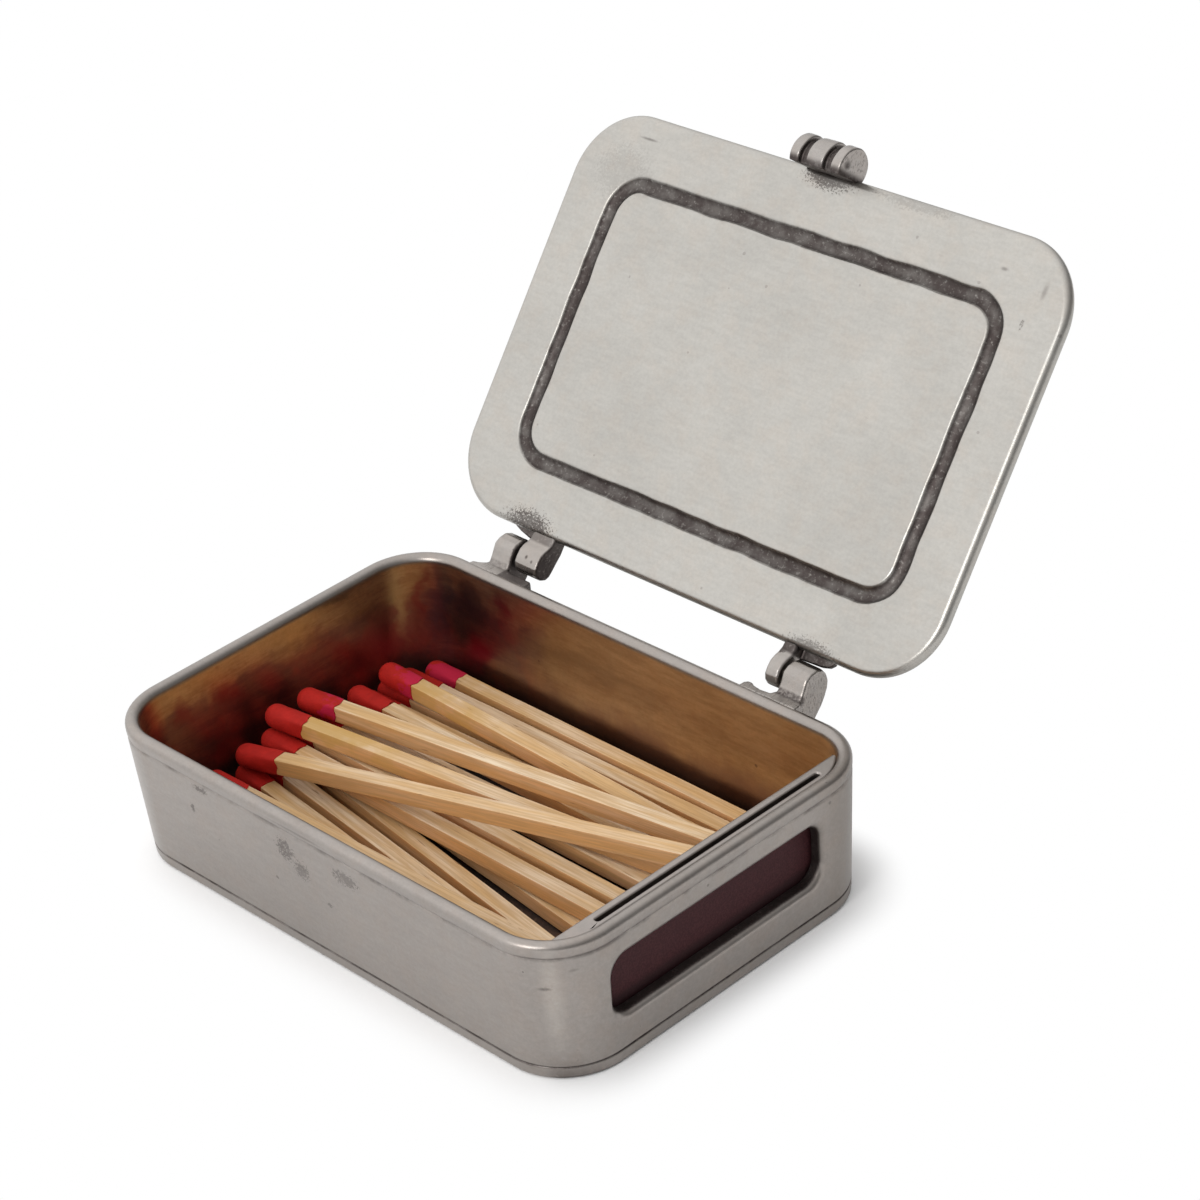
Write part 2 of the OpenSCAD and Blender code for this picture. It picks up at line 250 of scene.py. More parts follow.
def modify(piece, kind, **values):
    deselect()
    piece.select_set(True)
    bpy.context.view_layer.objects.active = piece
    bpy.ops.object.modifier_add(type=kind)
    modifier = piece.modifiers[-1]
    for key, value in values.items():
        setattr(modifier, key, value)
    bpy.ops.object.modifier_apply(modifier=modifier.name)


def carve(piece, cutter, operation="DIFFERENCE"):
    modify(piece, "BOOLEAN", object=cutter, operation=operation, solver="EXACT")
    bpy.data.objects.remove(cutter, do_unlink=True)


def rounded_slab(name, low, high, radius, segments=20, axis=2):
    slab = block(name, low, high)
    edit(slab)
    pick(slab, "EDGE", lambda e: runs_along(e, axis))
    bpy.ops.mesh.bevel(offset=radius, segments=segments, affect="EDGES")
    bpy.ops.object.mode_set(mode="OBJECT")
    return slab


def lean_in(piece, z):
    """Draws the points at one height in by the wall's lean at that height."""
    inward = lean * (1 - z / rim_top)
    pick(piece, "VERT", lambda v: abs(v.co.z - z) < tiny)
    bpy.ops.transform.resize(
        value=(1 - 2 * inward / box_l, 1 - 2 * inward / box_d, 1), center_override=(0, 0, 0)
    )


def smooth(piece, degrees=35):
    deselect()
    piece.select_set(True)
    bpy.context.view_layer.objects.active = piece
    bpy.ops.object.shade_smooth_by_angle(angle=math.radians(degrees))
    modify(piece, "WEIGHTED_NORMAL", keep_sharp=True)


def dress(piece, mat, body, slot, *stands_for):
    piece.data.materials.clear()
    piece.data.materials.append(mat)
    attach(piece, body)
    if stands_for:
        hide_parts(*stands_for)


def round_gap(point, half, radius):
    """Distance of a point outside a rectangle with round corners."""
    x = max(abs(point[0]) - (half[0] - radius), 0)
    y = max(abs(point[1]) - (half[1] - radius), 0)
    return math.hypot(x, y) - radius


wall = rounded_slab(
    "box_wall",
    (-box_l / 2, -box_d / 2, wall_foot),
    (box_l / 2, box_d / 2, rim_top),
    corner_r,
)
edit(wall)
lean_in(wall, wall_foot)
pick(wall, "FACE", lambda f: abs(f.normal.z) > 0.9)
bpy.ops.mesh.delete(type="FACE")
for z in (fold_z - fold_w, fold_z, fold_z + fold_w):
    bpy.ops.mesh.select_all(action="SELECT")
    bpy.ops.mesh.bisect(plane_co=(0, 0, z), plane_no=(0, 0, 1))
bpy.ops.object.mode_set(mode="OBJECT")
modify(wall, "SOLIDIFY", thickness=wall_t, offset=-1, use_even_offset=True)


def depth_in_wall(point):
    return -round_gap(point, (box_l / 2, box_d / 2), corner_r)


def along_wall(edge):
    a, b = ends(edge)
    same = abs(depth_in_wall(a) - depth_in_wall(b)) < wall_t / 4
    return same and abs(a.z - b.z) < tiny


edit(wall)
pick(wall, "VERT", lambda v: v.co.z > rim_top - rim_round)
bpy.ops.transform.resize(value=(1, 1, 0), center_override=(0, 0, rim_top))
pick(
    wall,
    "VERT",
    lambda v: abs(v.co.z - fold_z) < tiny and depth_in_wall(v.co) < wall_t / 2,
)
bpy.ops.transform.resize(
    value=(1 - 2 * fold_in / box_l, 1 - 2 * fold_in / box_d, 1), center_override=(0, 0, 0)
)
pick(wall, "EDGE", lambda e: along_wall(e) and ends(e)[0].z > rim_top - tiny)
bpy.ops.mesh.bevel(offset=rim_round, segments=8, affect="EDGES")
pick(
    wall,
    "EDGE",
    lambda e: along_wall(e) and ends(e)[0].z < wall_foot + tiny
    and depth_in_wall(ends(e)[0]) < wall_t,
)
bpy.ops.mesh.bevel(offset=seam_round, segments=3, affect="EDGES")
bpy.ops.object.mode_set(mode="OBJECT")

# The cutter has the window's outline and flares out into the round of its edge.
face_x = box_l / 2 - lean * (1 - window_mid.z / rim_top)
cutter = rounded_slab(
    "window",
    (box_l / 2 - 0.02, window_mid.y - window_l / 2, window_mid.z - window_h / 2),
    (face_x - window_round, window_mid.y + window_l / 2, window_mid.z + window_h / 2),
    window_r,
    segments=12,
    axis=0,
)
edit(cutter)
pick(cutter, "FACE", lambda f: f.normal.x > 0.9)
last_out, last_x = 0, 0
for step in range(1, 8):
    turn = min(step, 6) / 6 * math.pi / 2
    flare = window_round * (1 - math.cos(turn)) + (0.002 if step == 7 else 0)
    reach = window_round * math.sin(turn) + (0.002 if step == 7 else 0)
    bpy.ops.mesh.extrude_region_move(TRANSFORM_OT_translate={"value": (reach - last_x, 0, 0)})
    bpy.ops.transform.resize(
        value=(
            1,
            (window_l + 2 * flare) / (window_l + 2 * last_out),
            (window_h + 2 * flare) / (window_h + 2 * last_out),
        ),
        center_override=window_mid,
    )
    last_out, last_x = flare, reach
bpy.ops.object.mode_set(mode="OBJECT")
for point in cutter.data.vertices:
    point.co.x += (point.co.z - window_mid.z) * lean / rim_top
carve(wall, cutter)
smooth(wall)


def noise_at(group, vector, scale, detail=3, roughness=0.5):
    node = group.nodes.new("ShaderNodeTexNoise")
    node.inputs["Scale"].default_value = scale
    node.inputs["Detail"].default_value = detail
    node.inputs["Roughness"].default_value = roughness
    group.links.new(vector, node.inputs["Vector"])
    return node.outputs["Fac"]


def spread(group, value, low, high, to_low=0, to_high=1):
    node = group.nodes.new("ShaderNodeMapRange")
    node.interpolation_type = "SMOOTHSTEP"
    for key, number in zip(("From Min", "From Max", "To Min", "To Max"), (low, high, to_low, to_high)):
        node.inputs[key].default_value = number
    group.links.new(value, node.inputs["Value"])
    return node.outputs["Result"]


def sum_of(group, operation, *terms):
    node = group.nodes.new("ShaderNodeMath")
    node.operation = operation
    for socket, term in zip(node.inputs, terms):
        if isinstance(term, (int, float)):
            socket.default_value = term
        else:
            group.links.new(term, socket)
    return node.outputs[0]


def blend_of(group, factor, a, b):
    node = group.nodes.new("ShaderNodeMix")
    node.data_type = "RGBA"
    for socket, term in zip((node.inputs["Factor"], node.inputs["A"], node.inputs["B"]), (factor, a, b)):
        if isinstance(term, (int, float)):
            socket.default_value = term
        elif isinstance(term, tuple):
            socket.default_value = (*term, 1)
        else:
            group.links.new(term, socket)
    return node.outputs["Result"]


def new_group(name, takes, gives):
    kinds = {"f": "NodeSocketFloat", "c": "NodeSocketColor", "v": "NodeSocketVector"}
    group = bpy.data.node_groups.new(name, "ShaderNodeTree")
    for way, sockets in (("INPUT", takes), ("OUTPUT", gives)):
        for key, kind in sockets.items():
            group.interface.new_socket(key, in_out=way, socket_type=kinds[kind])
    return group, group.nodes.new("NodeGroupInput").outputs, group.nodes.new("NodeGroupOutput").inputs


def placed(tree, group, **given):
    node = tree.nodes.new("ShaderNodeGroup")
    node.node_tree = group
    for key, term in given.items():
        socket = node.inputs[key]
        if isinstance(term, (int, float)):
            socket.default_value = term
        elif isinstance(term, (tuple, Vector)):
            socket.default_value = (*term, 1) if socket.type == "RGBA" else tuple(term)
        else:
            tree.links.new(term, socket)
    return node.outputs


# Aged pewter: cloudy and satin, wiped along its length, with fine grain, small pits and
# dark patina where asked.
aged_pewter, given, result = new_group(
    "aged_pewter",
    {"Vector": "v", "Tone": "c", "Patina": "f", "Wear": "f"},
    {"Color": "c", "Roughness": "f", "Height": "f"},
)
wiped = aged_pewter.nodes.new("ShaderNodeMapping")
wiped.inputs["Scale"].default_value = (0.22, 1, 1)
aged_pewter.links.new(given["Vector"], wiped.inputs["Vector"])
wiped = noise_at(aged_pewter, wiped.outputs["Vector"], 900, 5, 0.7)
cloud = noise_at(aged_pewter, given["Vector"], 34, 6, 0.6)
blotch = noise_at(aged_pewter, given["Vector"], 210, 5, 0.65)
grain = noise_at(aged_pewter, given["Vector"], 1500, 5, 0.7)
shade = sum_of(
    aged_pewter,
    "MULTIPLY",
    spread(aged_pewter, cloud, 0.3, 0.7, 0.94, 1.05),
    spread(aged_pewter, grain, 0.3, 0.7, 0.955, 1.04),
)
shade = sum_of(
    aged_pewter, "MULTIPLY", shade, spread(aged_pewter, wiped, 0.3, 0.7, 0.96, 1.035)
)
cells = aged_pewter.nodes.new("ShaderNodeTexVoronoi")
cells.inputs["Scale"].default_value = 260
aged_pewter.links.new(given["Vector"], cells.inputs["Vector"])
lucky = aged_pewter.nodes.new("ShaderNodeSeparateColor")
aged_pewter.links.new(cells.outputs["Color"], lucky.inputs[0])
spot_reach = spread(aged_pewter, lucky.outputs[0], 0.72, 1.0, 0.0, 0.13)
ragged = sum_of(aged_pewter, "MULTIPLY_ADD", grain, 0.12, cells.outputs["Distance"])
spots = sum_of(aged_pewter, "LESS_THAN", ragged, sum_of(aged_pewter, "ADD", spot_reach, 0.03))
scuffs = sum_of(
    aged_pewter,
    "MULTIPLY",
    spread(aged_pewter, wiped, 0.60, 0.72),
    spread(aged_pewter, blotch, 0.52, 0.66, 0, 0.55),
)
marks = sum_of(aged_pewter, "MAXIMUM", spots, scuffs)
marks = sum_of(aged_pewter, "MULTIPLY", marks, given["Wear"])
rub = sum_of(
    aged_pewter,
    "MULTIPLY",
    spread(aged_pewter, blotch, 0.32, 0.62, 0.80, 1.0),
    spread(aged_pewter, grain, 0.70, 0.54, 0.6, 1.0),
)
patina = sum_of(aged_pewter, "MULTIPLY", given["Patina"], rub)
tone = aged_pewter.nodes.new("ShaderNodeVectorMath")
tone.operation = "SCALE"
aged_pewter.links.new(given["Tone"], tone.inputs[0])
aged_pewter.links.new(shade, tone.inputs["Scale"])
warm = blend_of(aged_pewter, spread(aged_pewter, blotch, 0.42, 0.66), (1, 1, 1), (1.015, 0.99, 0.972))
tinted = aged_pewter.nodes.new("ShaderNodeVectorMath")
tinted.operation = "MULTIPLY"
aged_pewter.links.new(tone.outputs[0], tinted.inputs[0])
aged_pewter.links.new(warm, tinted.inputs[1])
worn = blend_of(aged_pewter, marks, tinted.outputs[0], (0.12, 0.10, 0.095))
aged_pewter.links.new(blend_of(aged_pewter, patina, worn, (0.065, 0.053, 0.05)), result["Color"])
rough = spread(aged_pewter, cloud, 0.3, 0.7, 0.29, 0.37)
rough = sum_of(aged_pewter, "MULTIPLY_ADD", patina, 0.2, rough)
aged_pewter.links.new(rough, result["Roughness"])
height = sum_of(aged_pewter, "MULTIPLY_ADD", marks, -0.6, grain)
height = sum_of(aged_pewter, "MULTIPLY_ADD", cloud, 1.5, height)
aged_pewter.links.new(height, result["Height"])

# Distance of a point from the outline of a rectangle with round corners.
outline_gap, given, result = new_group(
    "outline_gap", {"Vector": "v", "Half": "v", "Radius": "f"}, {"Distance": "f"}
)
mirrored = outline_gap.nodes.new("ShaderNodeVectorMath")
mirrored.operation = "ABSOLUTE"
outline_gap.links.new(given["Vector"], mirrored.inputs[0])
past = outline_gap.nodes.new("ShaderNodeVectorMath")
past.operation = "SUBTRACT"
outline_gap.links.new(mirrored.outputs[0], past.inputs[0])
outline_gap.links.new(given["Half"], past.inputs[1])
ahead = outline_gap.nodes.new("ShaderNodeVectorMath")
ahead.operation = "MAXIMUM"
outline_gap.links.new(past.outputs[0], ahead.inputs[0])
flat = outline_gap.nodes.new("ShaderNodeVectorMath")
flat.operation = "MULTIPLY"
flat.inputs[1].default_value = (1, 1, 0)
outline_gap.links.new(ahead.outputs[0], flat.inputs[0])
long = outline_gap.nodes.new("ShaderNodeVectorMath")
long.operation = "LENGTH"
outline_gap.links.new(flat.outputs[0], long.inputs[0])
outline_gap.links.new(
    sum_of(outline_gap, "SUBTRACT", long.outputs["Value"], given["Radius"]), result["Distance"]
)

# A smear of dark speckles round a point: dense at its middle, thin towards its reach.
smear, given, result = new_group(
    "smear", {"Vector": "v", "Centre": "v", "Reach": "v", "Speckle": "f"}, {"Mask": "f"}
)
off = smear.nodes.new("ShaderNodeVectorMath")
off.operation = "SUBTRACT"
smear.links.new(given["Vector"], off.inputs[0])
smear.links.new(given["Centre"], off.inputs[1])
share = smear.nodes.new("ShaderNodeVectorMath")
share.operation = "DIVIDE"
smear.links.new(off.outputs[0], share.inputs[0])
smear.links.new(given["Reach"], share.inputs[1])
far = smear.nodes.new("ShaderNodeVectorMath")
far.operation = "LENGTH"
smear.links.new(share.outputs[0], far.inputs[0])
near = spread(smear, far.outputs["Value"], 0.1, 1.0, 1.0, 0.0)
fleck = noise_at(smear, given["Vector"], 2300, 5, 0.72)
fleck = sum_of(smear, "MULTIPLY_ADD", near, 0.30, fleck)
fleck = sum_of(smear, "MULTIPLY", spread(smear, fleck, 0.66, 0.74), spread(smear, near, 0, 0.2))
mixed = smear.nodes.new("ShaderNodeMix")
smear.links.new(given["Speckle"], mixed.inputs["Factor"])
smear.links.new(near, mixed.inputs["A"])
smear.links.new(fleck, mixed.inputs["B"])
smear.links.new(mixed.outputs["Result"], result["Mask"])


def smeared(tree, coord, patina, places):
    """Adds smears to a patina mask, each with its place, reach, speckle and strength."""
    for place, reach, speckle, strength in places:
        mark = placed(tree, smear, Vector=coord, Centre=place, Reach=reach, Speckle=speckle)
        mark = sum_of(tree, "MULTIPLY", mark["Mask"], strength)
        patina = sum_of(tree, "MAXIMUM", patina, mark)
    return patina


def metal(name, tone, wear=0.6, placing=None, polish=0):
    """A pewter material, its tree, and the coordinates that its patterns read."""
    mat = bpy.data.materials.new(name)
    mat.use_nodes = True
    tree = mat.node_tree
    bsdf = tree.nodes["Principled BSDF"]
    bsdf.inputs["Metallic"].default_value = 1
    coord = tree.nodes.new("ShaderNodeTexCoord").outputs["Object"]
    if placing:
        turned = tree.nodes.new("ShaderNodeMapping")
        turned.inputs["Location"].default_value = placing[0]
        turned.inputs["Rotation"].default_value = placing[1]
        tree.links.new(coord, turned.inputs["Vector"])
        coord = turned.outputs["Vector"]
    skin = placed(tree, aged_pewter, Vector=coord, Tone=tone, Wear=wear)
    bump = tree.nodes.new("ShaderNodeBump")
    bump.inputs["Strength"].default_value = 0.22
    bump.inputs["Distance"].default_value = 0.0001
    tree.links.new(skin["Color"], bsdf.inputs["Base Color"])
    rough = sum_of(tree, "SUBTRACT", skin["Roughness"], polish)
    tree.links.new(rough, bsdf.inputs["Roughness"])
    tree.links.new(skin["Height"], bump.inputs["Height"])
    tree.links.new(bump.outputs["Normal"], bsdf.inputs["Normal"])
    return mat, tree, coord, skin[0].node


def from_line(tree, coord, y, z):
    """Distance of a point from a line along X."""
    off = tree.nodes.new("ShaderNodeVectorMath")
    off.operation = "SUBTRACT"
    off.inputs[1].default_value = (0, y, z)
    tree.links.new(coord, off.inputs[0])
    across = tree.nodes.new("ShaderNodeVectorMath")
    across.operation = "MULTIPLY"
    across.inputs[1].default_value = (0, 1, 1)
    tree.links.new(off.outputs[0], across.inputs[0])
    radial = tree.nodes.new("ShaderNodeVectorMath")
    radial.operation = "LENGTH"
    tree.links.new(across.outputs[0], radial.inputs[0])
    return radial.outputs["Value"]


def scratches(tree, coord, scale):
    """Short file marks, as dark lines close together."""
    lines = tree.nodes.new("ShaderNodeMapping")
    lines.inputs["Scale"].default_value = scale
    tree.links.new(coord, lines.inputs["Vector"])
    return spread(tree, noise_at(tree, lines.outputs["Vector"], 1000, 2, 0.5), 0.54, 0.66)


def tinged(tree, coord, color, places):
    """Lays tints over a color, each with its place, reach, tint and strength."""
    for place, reach, tint, strength in places:
        mark = placed(tree, smear, Vector=coord, Centre=place, Reach=reach, Speckle=0)
        mark = sum_of(tree, "MULTIPLY", mark["Mask"], strength)
        color = blend_of(tree, mark, color, tint)
    return color


# Outside, the walls are bare satin pewter. Inside they are tarnished brown, darker towards
# the bottom, with patches that are partly real stain and partly painted reflection of the
# matches: tan and gold for the sticks, maroon for the heads.
case_tone = (0.31, 0.283, 0.263)
box_metal, tree, coord, skin = metal("case_pewter", case_tone)
gap = placed(
    tree,
    outline_gap,
    Vector=coord,
    Half=(box_l / 2 - corner_r, box_d / 2 - corner_r, 0),
    Radius=corner_r,
)["Distance"]
split = tree.nodes.new("ShaderNodeSeparateXYZ")
tree.links.new(coord, split.inputs[0])
below_rim = spread(tree, split.outputs["Z"], 0.0266, 0.0259)
within = spread(tree, gap, 0.0001 - wall_t, -wall_t)
inside = sum_of(tree, "MULTIPLY", within, below_rim)
tarnished = sum_of(tree, "MULTIPLY", inside, spread(tree, split.outputs["X"], 0.0525, 0.0515))
patches = noise_at(tree, coord, 60, 4, 0.6)
streaks = tree.nodes.new("ShaderNodeMapping")
streaks.inputs["Scale"].default_value = (0.16, 0.16, 1)
tree.links.new(coord, streaks.inputs["Vector"])
streaks = noise_at(tree, streaks.outputs["Vector"], 620, 6, 0.75)
# Darker towards the bottom. Towards the heads' end the colour is a dark stain with maroon patches and a
# tan band at the top: partly real stain, partly painted reflection of the heads and sticks.
high = sum_of(tree, "MULTIPLY_ADD", patches, 0.016, split.outputs["Z"])
brown = blend_of(tree, spread(tree, streaks, 0.35, 0.65), (0.43, 0.30, 0.185), (0.55, 0.40, 0.25))
brown = blend_of(tree, spread(tree, high, 0.022, 0.014), brown, (0.27, 0.17, 0.125))
dark = blend_of(tree, spread(tree, streaks, 0.4, 0.6), (0.24, 0.155, 0.14), (0.31, 0.20, 0.16))
stain_and_reflection = blend_of(tree, spread(tree, patches, 0.46, 0.58), dark, (0.36, 0.17, 0.145))
tan = blend_of(tree, spread(tree, streaks, 0.4, 0.6), (0.43, 0.30, 0.19), (0.55, 0.41, 0.26))
stain_and_reflection = blend_of(tree, spread(tree, high, 0.0265, 0.0300), stain_and_reflection, tan)
red_end = sum_of(tree, "MULTIPLY_ADD", patches, 0.02, split.outputs["X"])
red_end = spread(tree, red_end, -0.010, -0.020)
tarnish_and_reflection = blend_of(tree, red_end, brown, stain_and_reflection)
ragged = tree.nodes.new("ShaderNodeVectorMath")
ragged.operation = "MULTIPLY_ADD"
wander = tree.nodes.new("ShaderNodeTexNoise")
wander.inputs["Scale"].default_value = 190
wander.inputs["Detail"].default_value = 4
tree.links.new(coord, wander.inputs["Vector"])
tree.links.new(wander.outputs["Color"], ragged.inputs[0])
ragged.inputs[1].default_value = (0.010, 0.010, 0.007)
tree.links.new(coord, ragged.inputs[2])
back = tree.nodes.new("ShaderNodeVectorMath")
back.operation = "SUBTRACT"
back.inputs[1].default_value = (0.005, 0.005, 0.0035)
tree.links.new(ragged.outputs[0], back.inputs[0])
maroon, deep, gold = (0.27, 0.085, 0.085), (0.14, 0.09, 0.10), (0.62, 0.46, 0.27)
# Patches on the inner left and back walls: partly real stain, partly painted reflection of the match
# sticks (gold, tan) and heads (maroon).
tarnish_and_reflection = tinged(
    tree,
    back.outputs[0],
    tarnish_and_reflection,
    (
        ((-0.0554, 0.0040, 0.0256), (0.006, 0.020, 0.0032), gold, 0.8),
        ((-0.0554, -0.0190, 0.0252), (0.006, 0.014, 0.0026), gold, 0.6),
        ((-0.0554, -0.0121, 0.0203), (0.006, 0.0042, 0.0038), maroon, 0.75),
        ((-0.0554, -0.0227, 0.0204), (0.006, 0.0040, 0.0036), maroon, 0.75),
        ((-0.0554, 0.0216, 0.0120), (0.006, 0.0130, 0.0075), maroon, 0.8),
        ((-0.0554, 0.0167, 0.0264), (0.006, 0.0085, 0.0022), (0.19, 0.15, 0.12), 0.85),
        ((-0.0549, 0.0292, 0.0193), (0.004, 0.0024, 0.0110), (0.55, 0.43, 0.26), 0.85),
        ((-0.0523, 0.0331, 0.0194), (0.0026, 0.0026, 0.0100), maroon, 0.8),
        ((-0.0490, 0.0353, 0.0170), (0.0026, 0.0040, 0.0120), (0.17, 0.14, 0.16), 0.85),
        ((-0.0418, 0.0361, 0.0207), (0.0060, 0.0060, 0.0060), deep, 0.8),
        ((-0.0322, 0.0361, 0.0221), (0.0045, 0.0060, 0.0042), (0.30, 0.055, 0.085), 0.8),
        ((-0.0406, 0.0361, 0.0113), (0.0050, 0.0060, 0.0042), (0.30, 0.055, 0.085), 0.7),
        ((-0.0100, 0.0361, 0.0180), (0.0300, 0.0060, 0.0030), (0.36, 0.26, 0.17), 0.5),
    ),
)
# Painted highlight: a brighter vertical streak down the front right corner.
corner_highlight = placed(
    tree,
    smear,
    Vector=coord,
    Centre=(0.0532, -0.0352, 0.0169),
    Reach=(0.0026, 0.0026, 0.018),
    Speckle=0,
)["Mask"]
outside = blend_of(tree, corner_highlight, case_tone, (0.375, 0.345, 0.318))
# Painted shade: the window end is darker, most of all towards its back.
end_wall_shade = sum_of(
    tree,
    "MULTIPLY",
    spread(tree, split.outputs["X"], 0.0550, 0.0572),
    spread(tree, split.outputs["Y"], 0.020, 0.030, 0.12, 1),
)
outside = blend_of(tree, end_wall_shade, outside, (0.245, 0.218, 0.196))
tree.links.new(blend_of(tree, tarnished, outside, tarnish_and_reflection), skin.inputs["Tone"])
dirt = noise_at(tree, coord, 130, 5, 0.65)
seam = sum_of(tree, "ABSOLUTE", sum_of(tree, "SUBTRACT", split.outputs["Z"], wall_foot))
seam = spread(tree, seam, 0.00042, 0.00012)
seam = sum_of(tree, "MULTIPLY", seam, spread(tree, dirt, 0.3, 0.6, 0.45, 1.0))
fold = sum_of(tree, "ABSOLUTE", sum_of(tree, "SUBTRACT", split.outputs["Z"], fold_z))
fold = sum_of(tree, "MULTIPLY", spread(tree, fold, 0.0006, 0.0001), spread(tree, gap, -0.001, 0))
fold = sum_of(tree, "MULTIPLY", fold, spread(tree, dirt, 0.42, 0.66, 0, 0.7))
# Painted shade: the inner half of the window's cut edge is darkened, as the shade inside the wall's
# thickness.
edge = sum_of(tree, "MULTIPLY", spread(tree, gap, -0.0012, -0.0018), below_rim)
edge = sum_of(tree, "MULTIPLY", edge, spread(tree, split.outputs["X"], 0.050, 0.052, 0, 0.85))
hatch = scratches(tree, coord, (4.5, 0.5, 0))
hatch = sum_of(tree, "MULTIPLY", hatch, spread(tree, split.outputs["Z"], 0.0268, 0.0272, 0, 0.6))
hatch = sum_of(tree, "MULTIPLY", hatch, spread(tree, split.outputs["Y"], 0.0372, 0.0378))
middle = sum_of(tree, "ABSOLUTE", sum_of(tree, "ADD", split.outputs["X"], 0.0345))
hatch = sum_of(tree, "MULTIPLY", hatch, spread(tree, middle, 0.0055, 0.0035))
marks_and_shade = sum_of(tree, "MAXIMUM", sum_of(tree, "MAXIMUM", seam, fold), sum_of(tree, "MAXIMUM", edge, hatch))
front_y = -box_d / 2
patina = smeared(
    tree,
    coord,
    marks_and_shade,
    (
        ((-0.0077, front_y, 0.0207), (0.0042, 0.004, 0.0042), 1, 0.6),
        ((-0.0040, front_y, 0.0180), (0.0036, 0.004, 0.0036), 1, 0.5),
        ((0.0078, front_y, 0.0216), (0.0058, 0.004, 0.0028), 1, 0.5),
        ((-0.0295, front_y, 0.0237), (0.0035, 0.004, 0.0013), 1, 0.6),
        ((-0.0330, front_y, 0.0185), (0.0012, 0.004, 0.0020), 1, 0.6),
        ((0.0021, front_y, 0.0136), (0.0014, 0.004, 0.0010), 1, 0.5),
        ((-0.0035, front_y, 0.0259), (0.0095, 0.004, 0.0004), 0, 0.35),
        ((0.0524, -0.0360, 0.0190), (0.0016, 0.0016, 0.0005), 0, 0.6),
        ((0.0562, -0.0330, 0.0224), (0.0012, 0.0016, 0.0005), 0, 0.5),
    ),
)
tree.links.new(patina, skin.inputs["Patina"])
dress(wall, box_metal, "case", "pewter", "body_shell")


# Base.
# A pewter plate soldered under the walls. Its lower edge is rubbed round, and the seam
# shows as a fine line round the foot.
foot_round_edge = 0.0008
plate = rounded_slab(
    "box_base", (-box_l / 2, -box_d / 2, 0), (box_l / 2, box_d / 2, wall_foot), corner_r
)
edit(plate)
lean_in(plate, wall_foot)
lean_in(plate, 0)
pick(plate, "EDGE", lambda e: max(a.z for a in ends(e)) < tiny)
bpy.ops.mesh.bevel(offset=foot_round_edge, segments=4, affect="EDGES")
pick(plate, "EDGE", lambda e: min(a.z for a in ends(e)) > wall_foot - tiny)
bpy.ops.mesh.bevel(offset=seam_round, segments=3, affect="EDGES")
bpy.ops.object.mode_set(mode="OBJECT")
smooth(plate)
dress(plate, box_metal, "case", "pewter", "base_plate")


# Striker.
# A pewter divider stands inside the window end, on two end blocks that are soldered into
# the corners, and a bar joins it to the wall at the top. The slot in it holds a card with a
# maroon striking coat.
divider_x, pocket_x = 0.0515, 0.0533
divider_y = (-0.0330, 0.0325)
pocket_y = (-0.0250, 0.0270)
divider_top = 0.0269
divider_round, bar_round = 0.0009, 0.0004
slot_w = 0.00095
bar_low = 0.0234
wall_gap = 0.00008
divider = block(
    "striker_divider", (divider_x, divider_y[0], wall_foot), (box_l / 2, divider_y[1], divider_top)
)
hollow = rounded_slab(
    "hollow",
    (-box_l / 2 + wall_t, -box_d / 2 + wall_t, wall_foot),
    (box_l / 2 - wall_t - wall_gap, box_d / 2 - wall_t - wall_gap, rim_top),
    corner_r - wall_t,
)
edit(hollow)
lean_in(hollow, wall_foot)
bpy.ops.object.mode_set(mode="OBJECT")
carve(divider, hollow, "INTERSECT")
carve(divider, block("pocket", (pocket_x, pocket_y[0], 0), (box_l, pocket_y[1], bar_low)))
slot = rounded_slab(
    "slot",
    (pocket_x, pocket_y[0], 0),
    (pocket_x + slot_w, pocket_y[1], 2 * rim_top),
    slot_w * 0.45,
    6,
)
carve(divider, slot)
edit(divider)
pick(
    divider,
    "EDGE",
    lambda e: min(a.z for a in ends(e)) > divider_top - tiny
    and max(a.x for a in ends(e)) < divider_x + tiny,
)
bpy.ops.mesh.bevel(offset=divider_round, segments=6, affect="EDGES")
pick(
    divider,
    "EDGE",
    lambda e: min(a.z for a in ends(e)) > divider_top - tiny
    and min(a.x for a in ends(e)) > divider_x + divider_round + tiny,
)
bpy.ops.mesh.bevel(offset=bar_round, segments=4, affect="EDGES")
bpy.ops.object.mode_set(mode="OBJECT")
smooth(divider)
mat, tree, coord, skin = metal("divider_pewter", (0.33, 0.30, 0.28), 0.5)
split = tree.nodes.new("ShaderNodeSeparateXYZ")
tree.links.new(coord, split.inputs[0])
tree.links.new(spread(tree, split.outputs["Z"], 0.0266, 0.0255, 0, 0.75), skin.inputs["Patina"])
dress(divider, mat, "case", "pewter", "striker_wall")

coat = bpy.data.materials.new("striker_coat")
coat.use_nodes = True
tree = coat.node_tree
bsdf = tree.nodes["Principled BSDF"]
bsdf.inputs["Roughness"].default_value = 0.7
bsdf.inputs["Specular IOR Level"].default_value = 0.25
coord = tree.nodes.new("ShaderNodeTexCoord").outputs["Object"]
split = tree.nodes.new("ShaderNodeSeparateXYZ")
tree.links.new(coord, split.inputs[0])
faded = spread(tree, split.outputs["Z"], 0.017, 0.022)
cloudy = spread(tree, noise_at(tree, coord, 160, 4, 0.6), 0.35, 0.7)
faded = sum_of(tree, "MULTIPLY", faded, cloudy)
grit = noise_at(tree, coord, 3200, 2)
plain = blend_of(tree, spread(tree, grit, 0.35, 0.65), (0.043, 0.0105, 0.013), (0.064, 0.017, 0.020))
